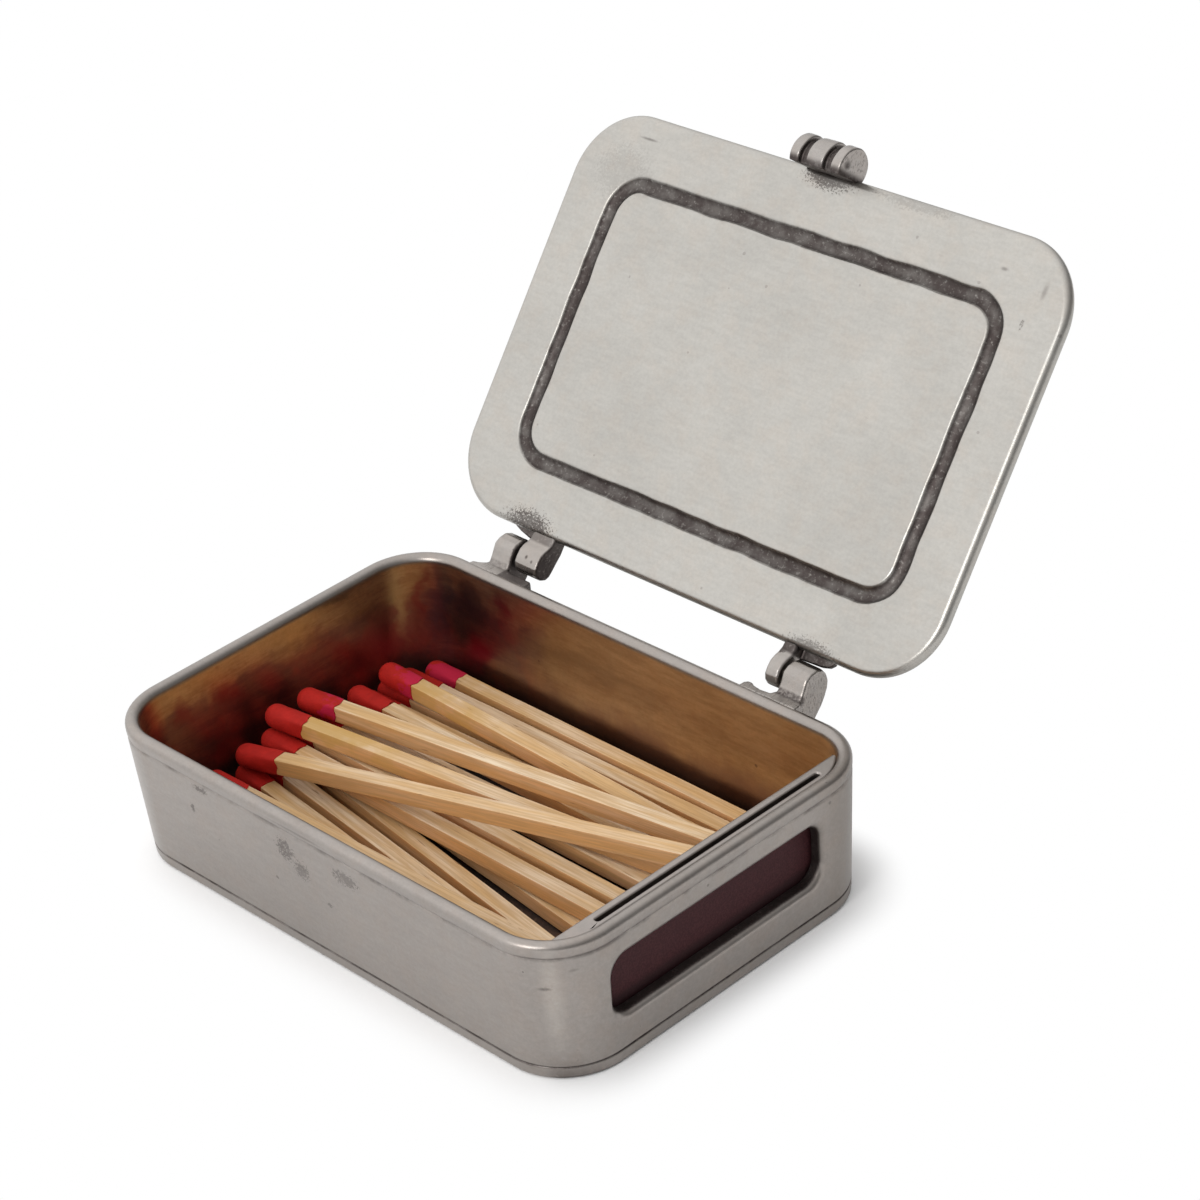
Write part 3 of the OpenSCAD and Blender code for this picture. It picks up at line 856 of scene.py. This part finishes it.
# Painted shade: the coat is darker towards its foot, below the window's sill.
shaded = spread(tree, split.outputs["Z"], 0.0115, 0.0098, 0, 0.6)
plain = blend_of(tree, shaded, plain, (0.018, 0.008, 0.009))
tree.links.new(blend_of(tree, faded, plain, (0.095, 0.036, 0.018)), bsdf.inputs["Base Color"])
bump = tree.nodes.new("ShaderNodeBump")
bump.inputs["Strength"].default_value = 0.5
bump.inputs["Distance"].default_value = 0.00005
tree.links.new(grit, bump.inputs["Height"])
tree.links.new(bump.outputs["Normal"], bsdf.inputs["Normal"])
nodes["striker_strip"].data.materials[0] = coat


# Lid.
# A pewter plate with soft edges. A groove is chased round its inside by hand, and stands
# proud as a low bead outside; dark patina is left in the groove. It is modelled closed,
# and then turned open about the hinge.
lid_l, lid_d, lid_t = 0.116, 0.079, 0.0023
lid_z = 0.02785
lid_r = 0.0138
lid_round, lid_soft = 0.0008, 0.0013
groove_l, groove_d, groove_r = 0.091, 0.054, 0.0065
groove_deep, groove_arc = 0.0008, 0.0018
groove_w = 2 * math.sqrt(groove_arc**2 - (groove_arc - groove_deep) ** 2)
bead_w, bead_high = 0.0028, 0.0004
hand_wobble = 0.0003
axis_y, axis_z = 0.0443, 0.0287
stand = math.radians(128)
lip_round = 0.0004


def open_lid(piece):
    turn = Matrix.Rotation(-stand, 4, "X")
    hinge = Matrix.Translation((0, axis_y, axis_z))
    piece.data.transform(hinge @ turn @ hinge.inverted())


def chased_ring(name, z0, z1, width, rounding):
    """A ring along the groove's line, with its top rounded and a hand's wobble."""
    half = Vector(((groove_l + width) / 2, (groove_d + width) / 2, 0))
    ring = rounded_slab(
        name, (-half.x, -half.y, z0), (half.x, half.y, z1), groove_r + width / 2, 12
    )
    edit(ring)
    pick(ring, "EDGE", lambda e: (ends(e)[0] - ends(e)[1]).length > 0.02)
    bpy.ops.mesh.subdivide(number_cuts=40)
    pick(ring, "FACE", lambda f: abs(f.normal.z) > 0.9)
    bpy.ops.mesh.delete(type="FACE")
    bpy.ops.object.mode_set(mode="OBJECT")
    modify(ring, "SOLIDIFY", thickness=width, offset=-1, use_even_offset=True)
    edit(ring)
    flat = Vector((1, 1, 0))
    pick(
        ring,
        "EDGE",
        lambda e: min(ends(e)[0].z, ends(e)[1].z) > z1 - tiny
        and ((ends(e)[0] - ends(e)[1]) * flat).length < width * 0.75,
    )
    bpy.ops.mesh.bevel(offset=rounding, segments=7, affect="EDGES")
    bpy.ops.object.mode_set(mode="OBJECT")
    for point in ring.data.vertices:
        spot = Vector((point.co.x, point.co.y, 0))
        for axis in (0, 1):
            seed = Vector((7.3 * axis, 0, 3.1 * axis))
            point.co[axis] += hand_wobble * noise.noise(spot * 170 + seed)
    return ring


lid = rounded_slab(
    "lid", (-lid_l / 2, -lid_d / 2, lid_z), (lid_l / 2, lid_d / 2, lid_z + lid_t), lid_r, 24
)
edit(lid)
pick(lid, "EDGE", lambda e: min(a.z for a in ends(e)) > lid_z + lid_t - tiny)
bpy.ops.mesh.bevel(offset=lid_round, segments=5, affect="EDGES")
pick(lid, "EDGE", lambda e: max(a.z for a in ends(e)) < lid_z + tiny)
bpy.ops.mesh.bevel(offset=lid_soft, segments=7, affect="EDGES")
bpy.ops.object.mode_set(mode="OBJECT")
arc_w = 2.04 * groove_arc
carve(lid, chased_ring("groove", lid_z - 0.002, lid_z + groove_deep, arc_w, groove_arc))
edit(lid)


def on_lip(edge):
    for point in ends(edge):
        off = round_gap((point.x, point.y), (groove_l / 2, groove_d / 2), groove_r)
        if abs(point.z - lid_z) > tiny or abs(abs(off) - groove_w / 2) > groove_w / 6:
            return False
    return True


pick(lid, "EDGE", on_lip)
bpy.ops.mesh.bevel(offset=lip_round, segments=4, affect="EDGES")
bpy.ops.object.mode_set(mode="OBJECT")
lid_top = lid_z + lid_t
carve(
    lid,
    chased_ring("bead", lid_top - bead_high, lid_top + bead_high, bead_w, bead_high * 0.9),
    "UNION",
)
open_lid(lid)
smooth(lid)

# The lid's materials read its closed place, so that their patterns lie along its edges.
to_closed = Matrix.Rotation(stand, 3, "X")
axis_point = Vector((0, axis_y, axis_z))
shut = (axis_point - to_closed @ axis_point, (stand, 0, 0))
lid_tone = (0.403, 0.389, 0.363)
lid_metal, tree, coord, skin = metal("lid_pewter", lid_tone, 0.3, shut)
split = tree.nodes.new("ShaderNodeSeparateXYZ")
tree.links.new(coord, split.inputs[0])
gap = placed(
    tree,
    outline_gap,
    Vector=coord,
    Half=(groove_l / 2 - groove_r, groove_d / 2 - groove_r, 0),
    Radius=groove_r,
)["Distance"]
near_line = spread(tree, sum_of(tree, "ABSOLUTE", gap), groove_w * 0.8, groove_w * 0.65)
uneven = noise_at(tree, coord, 420, 5, 0.7)
floor_z = sum_of(tree, "MULTIPLY_ADD", uneven, 0.0003, split.outputs["Z"])
deep = spread(tree, floor_z, lid_z + 0.00014, lid_z + 0.00050)
shallow = spread(tree, split.outputs["Z"], lid_z + 0.0013, lid_z + 0.0011)
patina = sum_of(tree, "MULTIPLY", near_line, sum_of(tree, "MULTIPLY", deep, shallow))
patina = smeared(
    tree,
    coord,
    patina,
    (
        ((0, -0.0385, lid_z), (0.0105, 0.0042, 0.003), 1, 0.75),
        ((0.001, -0.0392, lid_z), (0.0080, 0.0020, 0.003), 0, 0.9),
        ((-0.036, 0.0385, lid_z), (0.0110, 0.0050, 0.003), 1, 0.85),
        ((0.034, 0.0390, lid_z), (0.0100, 0.0035, 0.003), 1, 0.6),
        ((0.031, 0.0395, lid_z), (0.0050, 0.0014, 0.003), 0, 0.8),
        ((0.0517, -0.0313, lid_z), (0.0008, 0.0024, 0.003), 0, 0.35),
        ((0.0424, -0.0328, lid_z), (0.0012, 0.0005, 0.003), 0, 0.5),
        ((0.0498, -0.0250, lid_z), (0.0007, 0.0018, 0.003), 1, 0.6),
        ((-0.0426, -0.0353, lid_z), (0.0032, 0.0004, 0.003), 0, 0.6),
        ((-0.046, -0.028, lid_z), (0.0120, 0.0100, 0.003), 1, 0.15),
        ((0.020, -0.0385, lid_z), (0.0150, 0.0022, 0.003), 1, 0.2),
    ),
)
tree.links.new(patina, skin.inputs["Patina"])
dress(lid, lid_metal, "lid", "lid_pewter", "lid_plate")


# Thumb lift.
# A turned pewter barrel with three lobes, filed flat at its back and soldered on the
# front edge of the lid. Dark patina sits between its lobes and along the solder.
thumb_r, thumb_deep = 0.00396, 0.001
thumb_y, thumb_z = -0.0395 - 0.00133, 0.02785 - 0.00169
thumb_steps = (-0.0059, -0.0037, -0.0020, 0.0019, 0.0036, 0.0059)
thumb_back = -0.03905
thumb_soft = 0.00035


def rod(name, x0, x1, y, z, radius, sides=64):
    deselect()
    bpy.ops.mesh.primitive_cylinder_add(
        vertices=sides,
        radius=radius,
        depth=x1 - x0,
        location=((x0 + x1) / 2, y, z),
        rotation=(0, math.pi / 2, 0),
    )
    return applied(name)


def soften(piece, grain, rounds):
    """Melts a piece that is joined from several shapes into one soft casting."""
    modify(piece, "REMESH", mode="VOXEL", voxel_size=grain, use_smooth_shade=True)
    modify(piece, "SMOOTH", factor=0.5, iterations=rounds)


def joined(name, *pieces):
    deselect()
    for piece in pieces:
        piece.select_set(True)
    bpy.context.view_layer.objects.active = pieces[0]
    bpy.ops.object.join()
    return applied(name)


def is_rim(edge, y, z, radius):
    """Whether an edge runs round a barrel's surface, across its axis."""
    a, b = ends(edge)
    out = [math.hypot(p.y - y, p.z - z) for p in (a, b)]
    return abs(a.x - b.x) < tiny and min(out) > radius - tiny


def dent(piece, depth, scale):
    """Gives a casting the slight unevenness of a mould and a file."""
    for point in piece.data.vertices:
        for axis in (0, 1, 2):
            seed = Vector((3.7 * axis, 1.9 * axis, 0))
            point.co[axis] += depth * noise.noise(point.co * scale + seed)


thumb = rod("thumb_barrel", thumb_steps[0], thumb_steps[-1], thumb_y, thumb_z, thumb_r)
edit(thumb)
for x in thumb_steps[1:-1]:
    bpy.ops.mesh.select_all(action="SELECT")
    bpy.ops.mesh.bisect(plane_co=(x, 0, 0), plane_no=(1, 0, 0))
pick(
    thumb,
    "FACE",
    lambda f: abs(f.normal.x) < 0.5
    and thumb_steps[2] > f.calc_center_median().x > thumb_steps[1]
    or abs(f.normal.x) < 0.5
    and thumb_steps[4] > f.calc_center_median().x > thumb_steps[3],
)
bpy.ops.mesh.extrude_region_shrink_fatten(TRANSFORM_OT_shrink_fatten={"value": -thumb_deep})
pick(thumb, "EDGE", lambda e: is_rim(e, thumb_y, thumb_z, thumb_r))
bpy.ops.mesh.bevel(offset=thumb_soft, segments=3, affect="EDGES")
bpy.ops.mesh.select_all(action="SELECT")
bpy.ops.mesh.bisect(
    plane_co=(0, thumb_back, 0), plane_no=(0, 1, 0), use_fill=True, clear_outer=True
)
bpy.ops.object.mode_set(mode="OBJECT")
soften(thumb, 0.00012, 6)
dent(thumb, 0.00009, 420)
open_lid(thumb)
mat, tree, coord, skin = metal("thumb_pewter", (0.33, 0.308, 0.29), 0.5, shut, 0.07)
split = tree.nodes.new("ShaderNodeSeparateXYZ")
tree.links.new(coord, split.inputs[0])


waist = spread(tree, sum_of(tree, "ABSOLUTE", split.outputs["X"]), 0.0048, 0.0042)
low = spread(tree, from_line(tree, coord, thumb_y, thumb_z), 0.0038, 0.0031)
joint = spread(tree, split.outputs["Y"], -0.0407, -0.0394)
filed = spread(tree, split.outputs["X"], 0.0056, 0.0058)
filed = sum_of(tree, "MULTIPLY", filed, scratches(tree, coord, (0, 1.2, 5)))
patina = sum_of(tree, "MAXIMUM", sum_of(tree, "MULTIPLY", waist, low), joint)
patina = sum_of(tree, "MAXIMUM", patina, sum_of(tree, "MULTIPLY", filed, 0.6))
patina = smeared(
    tree, coord, patina, (((0.0059, -0.0410, 0.0240), (0.0010, 0.0014, 0.0014), 0, 0.9),)
)
tree.links.new(patina, skin.inputs["Patina"])
dress(thumb, mat, "lid", "lid_pewter", "thumb_lift")


# Hinges.
# Two hinges of cast pewter. The box's half is soldered behind the rim and ends in a lug,
# the lid's half lies on the lid's outside and curls round its edge into another, and a
# pin runs through both lugs. They are filed to fit, and dark in their joints.
lid_leaf_t = 0.0012
lug_soft = 0.00055
hinges = {
    "left": ((-0.0402, -0.0350), (-0.0343, -0.0284)),
    "right": ((0.0321, 0.0378), (0.0283, 0.0314)),
}
# Outlines of the lugs from the side, in mm: the box's as it stands, the lid's as closed.
box_lug = (
    (38.0, 27.3), (40.0, 27.4), (40.9, 28.6), (41.6, 29.9), (42.2, 30.9), (43.3, 31.5),
    (44.8, 31.7), (46.2, 31.2), (47.2, 29.9), (47.5, 28.4), (47.2, 27.0), (46.5, 25.7),
    (45.4, 24.2), (43.8, 22.5), (42.2, 20.8), (41.0, 19.5), (40.5, 18.7), (38.0, 18.7),
)
lid_lug = (
    (39.1, 31.3), (39.1, 27.95), (40.3, 27.8), (41.2, 27.3), (42.0, 26.6), (43.0, 26.0),
    (44.3, 25.8), (45.6, 25.95), (46.6, 26.6), (47.1, 27.6), (47.2, 28.6), (46.9, 29.8),
    (46.1, 30.4), (43.4, 30.9), (41.4, 31.3),
)
# Outlines of the box's leaves from above, with a hump at one end and a notch in which the
# lid's lug turns.
leaf_low, leaf_top = 19.5, 27.66
leaves = {
    "left": (
        (-43.2, 37.6), (-42.9, 38.9), (-41.8, 39.2), (-40.4, 39.9), (-40.0, 40.6),
        (-35.2, 40.6), (-34.6, 40.2), (-33.6, 39.9), (-28.6, 39.9), (-28.2, 39.4),
        (-28.2, 37.6),
    ),
    "right": (
        (25.3, 37.6), (25.4, 39.2), (26.0, 39.9), (26.9, 39.9), (27.8, 39.4), (29.4, 39.1),
        (31.6, 39.3), (32.2, 40.4), (37.6, 40.6), (38.2, 40.0), (38.6, 37.6),
    ),
}
# Outlines of the lid's leaves from above, with the lid closed.
straps = {
    "left": (
        (-41.6, 38.0), (-40.9, 39.6), (-39.0, 40.3), (-36.5, 40.9), (-34.3, 41.2),
        (-28.6, 41.2), (-28.6, 34.5), (-40.6, 34.5),
    ),
    "right": (
        (28.4, 34.5), (28.4, 41.0), (31.4, 41.3), (36.0, 41.1), (37.6, 40.7), (38.4, 39.9),
        (38.5, 34.5),
    ),
}


def cast(name, outline, axis, start, stop, soft):
    """A solid of one outline, drawn along X or Z, with the edges of both ends rounded."""
    deselect()
    bpy.ops.mesh.primitive_circle_add(vertices=len(outline), fill_type="NGON")
    piece = applied(name)
    for point, (a, b) in zip(piece.data.vertices, outline):
        point.co = (start, a / 1000, b / 1000) if axis == 0 else (a / 1000, b / 1000, start)
    edit(piece)
    way = (stop - start, 0, 0) if axis == 0 else (0, 0, stop - start)
    bpy.ops.mesh.select_all(action="SELECT")
    bpy.ops.mesh.extrude_region_move(TRANSFORM_OT_translate={"value": way})
    bpy.ops.mesh.select_all(action="SELECT")
    bpy.ops.mesh.normals_make_consistent(inside=False)
    pick(piece, "EDGE", lambda e: abs(ends(e)[0][axis] - ends(e)[1][axis]) < tiny)
    bpy.ops.mesh.bevel(offset=soft, segments=3, affect="EDGES")
    bpy.ops.object.mode_set(mode="OBJECT")
    return piece


# The box's half is dark round the foot of its lug, its leaf and end are filed, and it carries painted
# shade beneath the lid's left lug.
box_hinge, tree, coord, skin = metal("box_hinge_pewter", (0.33, 0.305, 0.285), 0.9, None, 0.05)
split = tree.nodes.new("ShaderNodeSeparateXYZ")
tree.links.new(coord, split.inputs[0])
crumbs = spread(tree, noise_at(tree, coord, 1800, 4, 0.7), 0.40, 0.58, 0.6, 1)
foot = spread(tree, from_line(tree, coord, 0.0404, 0.0277), 0.0011, 0.0005)
foot = sum_of(tree, "MULTIPLY", foot, crumbs)
foot = sum_of(tree, "MULTIPLY", foot, spread(tree, split.outputs["X"], -0.02, 0.02, 0.5, 0.95))
top = spread(tree, split.outputs["Z"], 0.0272, 0.0275)
top = sum_of(tree, "MULTIPLY", top, spread(tree, split.outputs["Z"], 0.0280, 0.0277))
filed = sum_of(tree, "MULTIPLY", top, scratches(tree, coord, (4.5, 0.6, 0)))
end = spread(tree, sum_of(tree, "SUBTRACT", split.outputs["X"], hinges["right"][0][1]), -0.0004, 0)
end = sum_of(tree, "MULTIPLY", end, scratches(tree, coord, (0, 4, 1)))
# Painted shade on the end of the left lug and on the leaf beneath the lid's lug.
shade_under_lid_lug = sum_of(tree, "SUBTRACT", split.outputs["X"], hinges["left"][0][1])
shade_under_lid_lug = sum_of(
    tree, "MULTIPLY", spread(tree, shade_under_lid_lug, -0.0006, -0.0002), spread(tree, shade_under_lid_lug, 0.03, 0.02)
)
patina = sum_of(tree, "MAXIMUM", foot, sum_of(tree, "MULTIPLY", filed, 0.6))
patina = sum_of(tree, "MAXIMUM", patina, sum_of(tree, "MULTIPLY", end, 0.5))
patina = sum_of(tree, "MAXIMUM", patina, sum_of(tree, "MULTIPLY", shade_under_lid_lug, 0.9))
tree.links.new(patina, skin.inputs["Patina"])

# The lid's half is dark on its leaf, partly patina and partly painted shade; dark along the lid's edge;
# and painted shade on its outer end.
lid_hinge, tree, coord, skin = metal("lid_hinge_pewter", (0.33, 0.305, 0.285), 0.9, shut, 0.05)
split = tree.nodes.new("ShaderNodeSeparateXYZ")
tree.links.new(coord, split.inputs[0])
# The leaf: partly patina, partly painted shade.
back = spread(tree, split.outputs["Z"], 0.0297, 0.0300)
rightward = spread(tree, split.outputs["X"], -0.02, 0.02, 0, 1)
joint = spread(tree, from_line(tree, coord, 0.0397, 0.0279), 0.0016, 0.0008)
joint = sum_of(tree, "MULTIPLY", joint, spread(tree, rightward, 0, 1, 0.6, 1))
# Painted shade on the outer end of the left lug.
end_shade = sum_of(tree, "SUBTRACT", split.outputs["X"], hinges["left"][1][1])
end_shade = sum_of(
    tree, "MULTIPLY", spread(tree, end_shade, -0.0005, -0.0001), spread(tree, end_shade, 0.03, 0.02)
)
under = sum_of(tree, "MULTIPLY_ADD", split.outputs["Z"], 0.6, split.outputs["Y"])
under = spread(tree, under, 0.0630, 0.0636)
under = sum_of(tree, "MULTIPLY", under, spread(tree, rightward, 0, 1, 0.9, 0.55))
patina = sum_of(tree, "MAXIMUM", sum_of(tree, "MAXIMUM", back, joint), end_shade)
patina = smeared(
    tree,
    coord,
    sum_of(tree, "MAXIMUM", patina, under),
    (
        ((-0.0317, 0.0440, 0.0258), (0.0005, 0.0006, 0.0006), 0, 0.9),
        ((-0.0301, 0.0445, 0.0258), (0.0004, 0.0005, 0.0006), 0, 0.8),
        ((0.0290, 0.0409, 0.0274), (0.0016, 0.0010, 0.0010), 1, 0.9),
    ),
)
tree.links.new(patina, skin.inputs["Patina"])

for side, (box_k, lid_k) in hinges.items():
    leaf = cast("leaf", leaves[side], 2, leaf_low / 1000, leaf_top / 1000, lug_soft / 2)
    lug = cast("lug", box_lug, 0, *box_k, lug_soft)
    piece = joined("hinge_leaf_" + side, leaf, lug)
    soften(piece, 0.00013, 8)
    dent(piece, 0.00008, 380)
    dress(piece, box_hinge, "case", "pewter", "hinge_box_" + side)

    leaf = cast("leaf", straps[side], 2, lid_top, lid_top + lid_leaf_t, lug_soft / 2)
    lug = cast("lug", lid_lug, 0, *lid_k, lug_soft)
    piece = joined("hinge_strap_" + side, leaf, lug)
    soften(piece, 0.00013, 8)
    dent(piece, 0.00008, 380)
    open_lid(piece)
    dress(piece, lid_hinge, "lid", "lid_pewter", "hinge_lid_" + side)
    nodes["hinge_pin_" + side].data.materials[0] = box_hinge


# Matches.
# Extra-long household matches: square aspen sticks whose heads are dipped in red paste.
# They lie as they were dropped in, heads to the left, from the lowest to the topmost.
# Some heads came out pink, and wax stains some sticks beside their heads.
stick_w, match_l, head_l, head_r = 0.0032, 0.100, 0.0105, 0.0023
stick_round = 0.0003
match_count = 19
pink_heads = {10: 1.0, 15: 0.6, 19: 0.55}
waxed_sticks = {2: 0.2, 10: 0.5, 15: 0.9, 16: 0.1, 17: 0.1, 18: 1.0, 19: 0.1}
riders = {16: "match_front", 17: "match_crossing", 18: "match_middle", 19: "match_back"}

wood = bpy.data.materials.new("match_wood")
wood.use_nodes = True
tree = wood.node_tree
bsdf = tree.nodes["Principled BSDF"]
bsdf.inputs["Roughness"].default_value = 0.62


def own(tree, name, socket):
    node = tree.nodes.new("ShaderNodeAttribute")
    node.attribute_name = name
    return node.outputs[socket]


def drawn_out(tree, vector, shrink):
    node = tree.nodes.new("ShaderNodeMapping")
    node.inputs["Scale"].default_value = (shrink, 1, 1)
    tree.links.new(vector, node.inputs["Vector"])
    return node.outputs["Vector"]


spot = own(tree, "along_match", "Vector")
tone = own(tree, "wood_tone", "Fac")
wax = own(tree, "wax", "Fac")
broad = noise_at(tree, drawn_out(tree, spot, 0.10), 420, 4, 0.55)
fine = noise_at(tree, drawn_out(tree, spot, 0.035), 2300, 4, 0.65)
flecks = spread(tree, noise_at(tree, drawn_out(tree, spot, 0.09), 1500, 3, 0.6), 0.66, 0.74)
pale = blend_of(tree, tone, (0.70, 0.53, 0.36), (0.78, 0.63, 0.45))
color = blend_of(tree, spread(tree, broad, 0.35, 0.7), (0.62, 0.39, 0.175), pale)
# Painted shade: the sides of each stick are darker and more orange than its top.
upward = tree.nodes.new("ShaderNodeSeparateXYZ")
tree.links.new(tree.nodes.new("ShaderNodeNewGeometry").outputs["Normal"], upward.inputs[0])
painted_side_shade = spread(tree, upward.outputs["Z"], 0.75, 0.25, 0, 0.6)
color = blend_of(tree, painted_side_shade, color, (0.66, 0.30, 0.09))
color = blend_of(tree, spread(tree, fine, 0.62, 0.40, 0, 0.45), color, (0.40, 0.23, 0.09))
color = blend_of(tree, sum_of(tree, "MULTIPLY", flecks, 0.7), color, (0.24, 0.11, 0.04))
split = tree.nodes.new("ShaderNodeSeparateXYZ")
tree.links.new(own(tree, "from_tip", "Vector"), split.inputs[0])
soaked = spread(tree, split.outputs["X"], 0.042, 0.018)
patch = spread(tree, noise_at(tree, spot, 120, 3, 0.6), 0.40, 0.55)
soaked = sum_of(tree, "MULTIPLY", sum_of(tree, "MULTIPLY", soaked, patch), wax)
color = blend_of(tree, sum_of(tree, "MULTIPLY", soaked, 0.7), color, (0.50, 0.29, 0.065))
tree.links.new(color, bsdf.inputs["Base Color"])
bump = tree.nodes.new("ShaderNodeBump")
bump.inputs["Strength"].default_value = 0.35
bump.inputs["Distance"].default_value = 0.00008
tree.links.new(fine, bump.inputs["Height"])
tree.links.new(bump.outputs["Normal"], bsdf.inputs["Normal"])

red = bpy.data.materials.new("match_red")
red.use_nodes = True
tree = red.node_tree
bsdf = tree.nodes["Principled BSDF"]
bsdf.inputs["Roughness"].default_value = 0.75
bsdf.inputs["Specular IOR Level"].default_value = 0.25
spot = own(tree, "along_match", "Vector")
pink = own(tree, "pink", "Fac")
uneven = noise_at(tree, spot, 420, 3, 0.6)
paste = blend_of(tree, spread(tree, uneven, 0.3, 0.7), (0.36, 0.009, 0.005), (0.44, 0.012, 0.007))
split = tree.nodes.new("ShaderNodeSeparateXYZ")
tree.links.new(own(tree, "from_tip", "Vector"), split.inputs[0])
splash = noise_at(tree, spot, 260, 3, 0.6)
edge = spread(tree, split.outputs["X"], 0.002, 0.0095, 0.1, 0.62)
splash = sum_of(tree, "ADD", splash, sum_of(tree, "MULTIPLY", edge, pink))
splash = sum_of(tree, "ADD", splash, sum_of(tree, "MULTIPLY", pink, 0.25))
splash = sum_of(tree, "MULTIPLY", spread(tree, splash, 0.82, 0.90), spread(tree, pink, 0.1, 0.2))
tree.links.new(blend_of(tree, splash, paste, (0.44, 0.010, 0.042)), bsdf.inputs["Base Color"])
bump = tree.nodes.new("ShaderNodeBump")
bump.inputs["Strength"].default_value = 0.5
bump.inputs["Distance"].default_value = 0.00006
tree.links.new(noise_at(tree, spot, 2600, 3, 0.6), bump.inputs["Height"])
tree.links.new(bump.outputs["Normal"], bsdf.inputs["Normal"])


def keep_spot(piece, offset, **values):
    """Stores each point's place along its own match, before the match is laid."""
    mesh = piece.data
    along = mesh.attributes.new("along_match", "FLOAT_VECTOR", "POINT")
    tip = mesh.attributes.new("from_tip", "FLOAT_VECTOR", "POINT")
    for i, point in enumerate(mesh.vertices):
        along.data[i].vector = point.co + offset
        tip.data[i].vector = point.co
    for name, value in values.items():
        layer = mesh.attributes.new(name, "FLOAT", "POINT")
        for item in layer.data:
            item.value = value


def laid_as(name):
    """The place of a match, from the two ends of its stick as constructed."""
    points = [point.co for point in nodes[name].data.vertices]
    middle = sum(points, Vector()) / len(points)
    near = [point for point in points if point.x < middle.x]
    near = sum(near, Vector()) / len(near)
    axis = (middle - near).normalized()
    across = Vector((0, 0, 1)).cross(axis).normalized()
    turn = Matrix((axis, across, axis.cross(across))).transposed().to_4x4()
    return Matrix.Translation(near - axis * head_l) @ turn


chance = random.Random(4)
for number in range(1, match_count + 1):
    length_of_head = head_l - chance.uniform(0, 0.0014)
    stick = block(
        "match_wood_" + str(number),
        (length_of_head - 0.001, -stick_w / 2, -stick_w / 2),
        (match_l, stick_w / 2, stick_w / 2),
    )
    edit(stick)
    bpy.ops.mesh.select_all(action="SELECT")
    bpy.ops.mesh.bevel(offset=stick_round, segments=2, affect="EDGES")
    pick(stick, "EDGE", lambda e: (ends(e)[0] - ends(e)[1]).length > 0.02)
    bpy.ops.mesh.subdivide(number_cuts=24)
    bpy.ops.object.mode_set(mode="OBJECT")
    bent = Vector((chance.uniform(0, 90), 0, 0))
    for point in stick.data.vertices:
        wave = noise.noise(Vector((point.co.x * 60, 0, 0)) + bent)
        point.co.y += 0.00008 * wave
        point.co.z += 0.00005 * noise.noise(Vector((point.co.x * 90, 5, 0)) + bent)
    smooth(stick)
    offset = Vector((chance.uniform(0, 3), chance.uniform(0, 3), chance.uniform(0, 3)))
    keep_spot(stick, offset, wood_tone=chance.random(), wax=waxed_sticks.get(number, 0))

    head = rod("match_tip_" + str(number), 0, length_of_head, 0, 0, head_r, 40)
    edit(head)
    pick(head, "EDGE", lambda e: max(a.x for a in ends(e)) < tiny)
    bpy.ops.mesh.bevel(offset=head_r * 0.96, segments=9, affect="EDGES")
    for cut in range(1, 8):
        bpy.ops.mesh.select_all(action="SELECT")
        bpy.ops.mesh.bisect(
            plane_co=(head_r + (length_of_head - head_r) * cut / 8, 0, 0), plane_no=(1, 0, 0)
        )
    bpy.ops.object.mode_set(mode="OBJECT")
    for point in head.data.vertices:
        round_r = math.hypot(point.co.y, point.co.z)
        if round_r > tiny:
            share = min(max((point.co.x - 0.0035) / (length_of_head - 0.0035), 0), 1)
            widest = max(abs(point.co.y), abs(point.co.z)) / round_r
            square_r = min((stick_w / 2 + 0.00012) / widest, head_r)
            factor = 1 + share * (square_r / round_r - 1) if round_r > head_r * 0.8 else 1
            lumps = 1 + 0.03 * noise.noise(point.co * 500 + offset)
            point.co.y *= factor * lumps
            point.co.z *= factor * lumps
        if point.co.x > length_of_head - tiny:
            around = Vector((point.co.y, point.co.z, 0)) * 700 + offset
            point.co.x += 0.0007 * noise.noise(around)
    smooth(head, 60)
    keep_spot(head, offset, pink=pink_heads.get(number, 0))
    laid = laid_as("match_stick_" + str(number))
    stick.data.transform(laid)
    head.data.transform(laid)
    body = riders.get(number, "case")
    dress(stick, wood, body, "match_wood", "match_stick_" + str(number))
    dress(head, red, body, "match_red", "match_head_" + str(number))
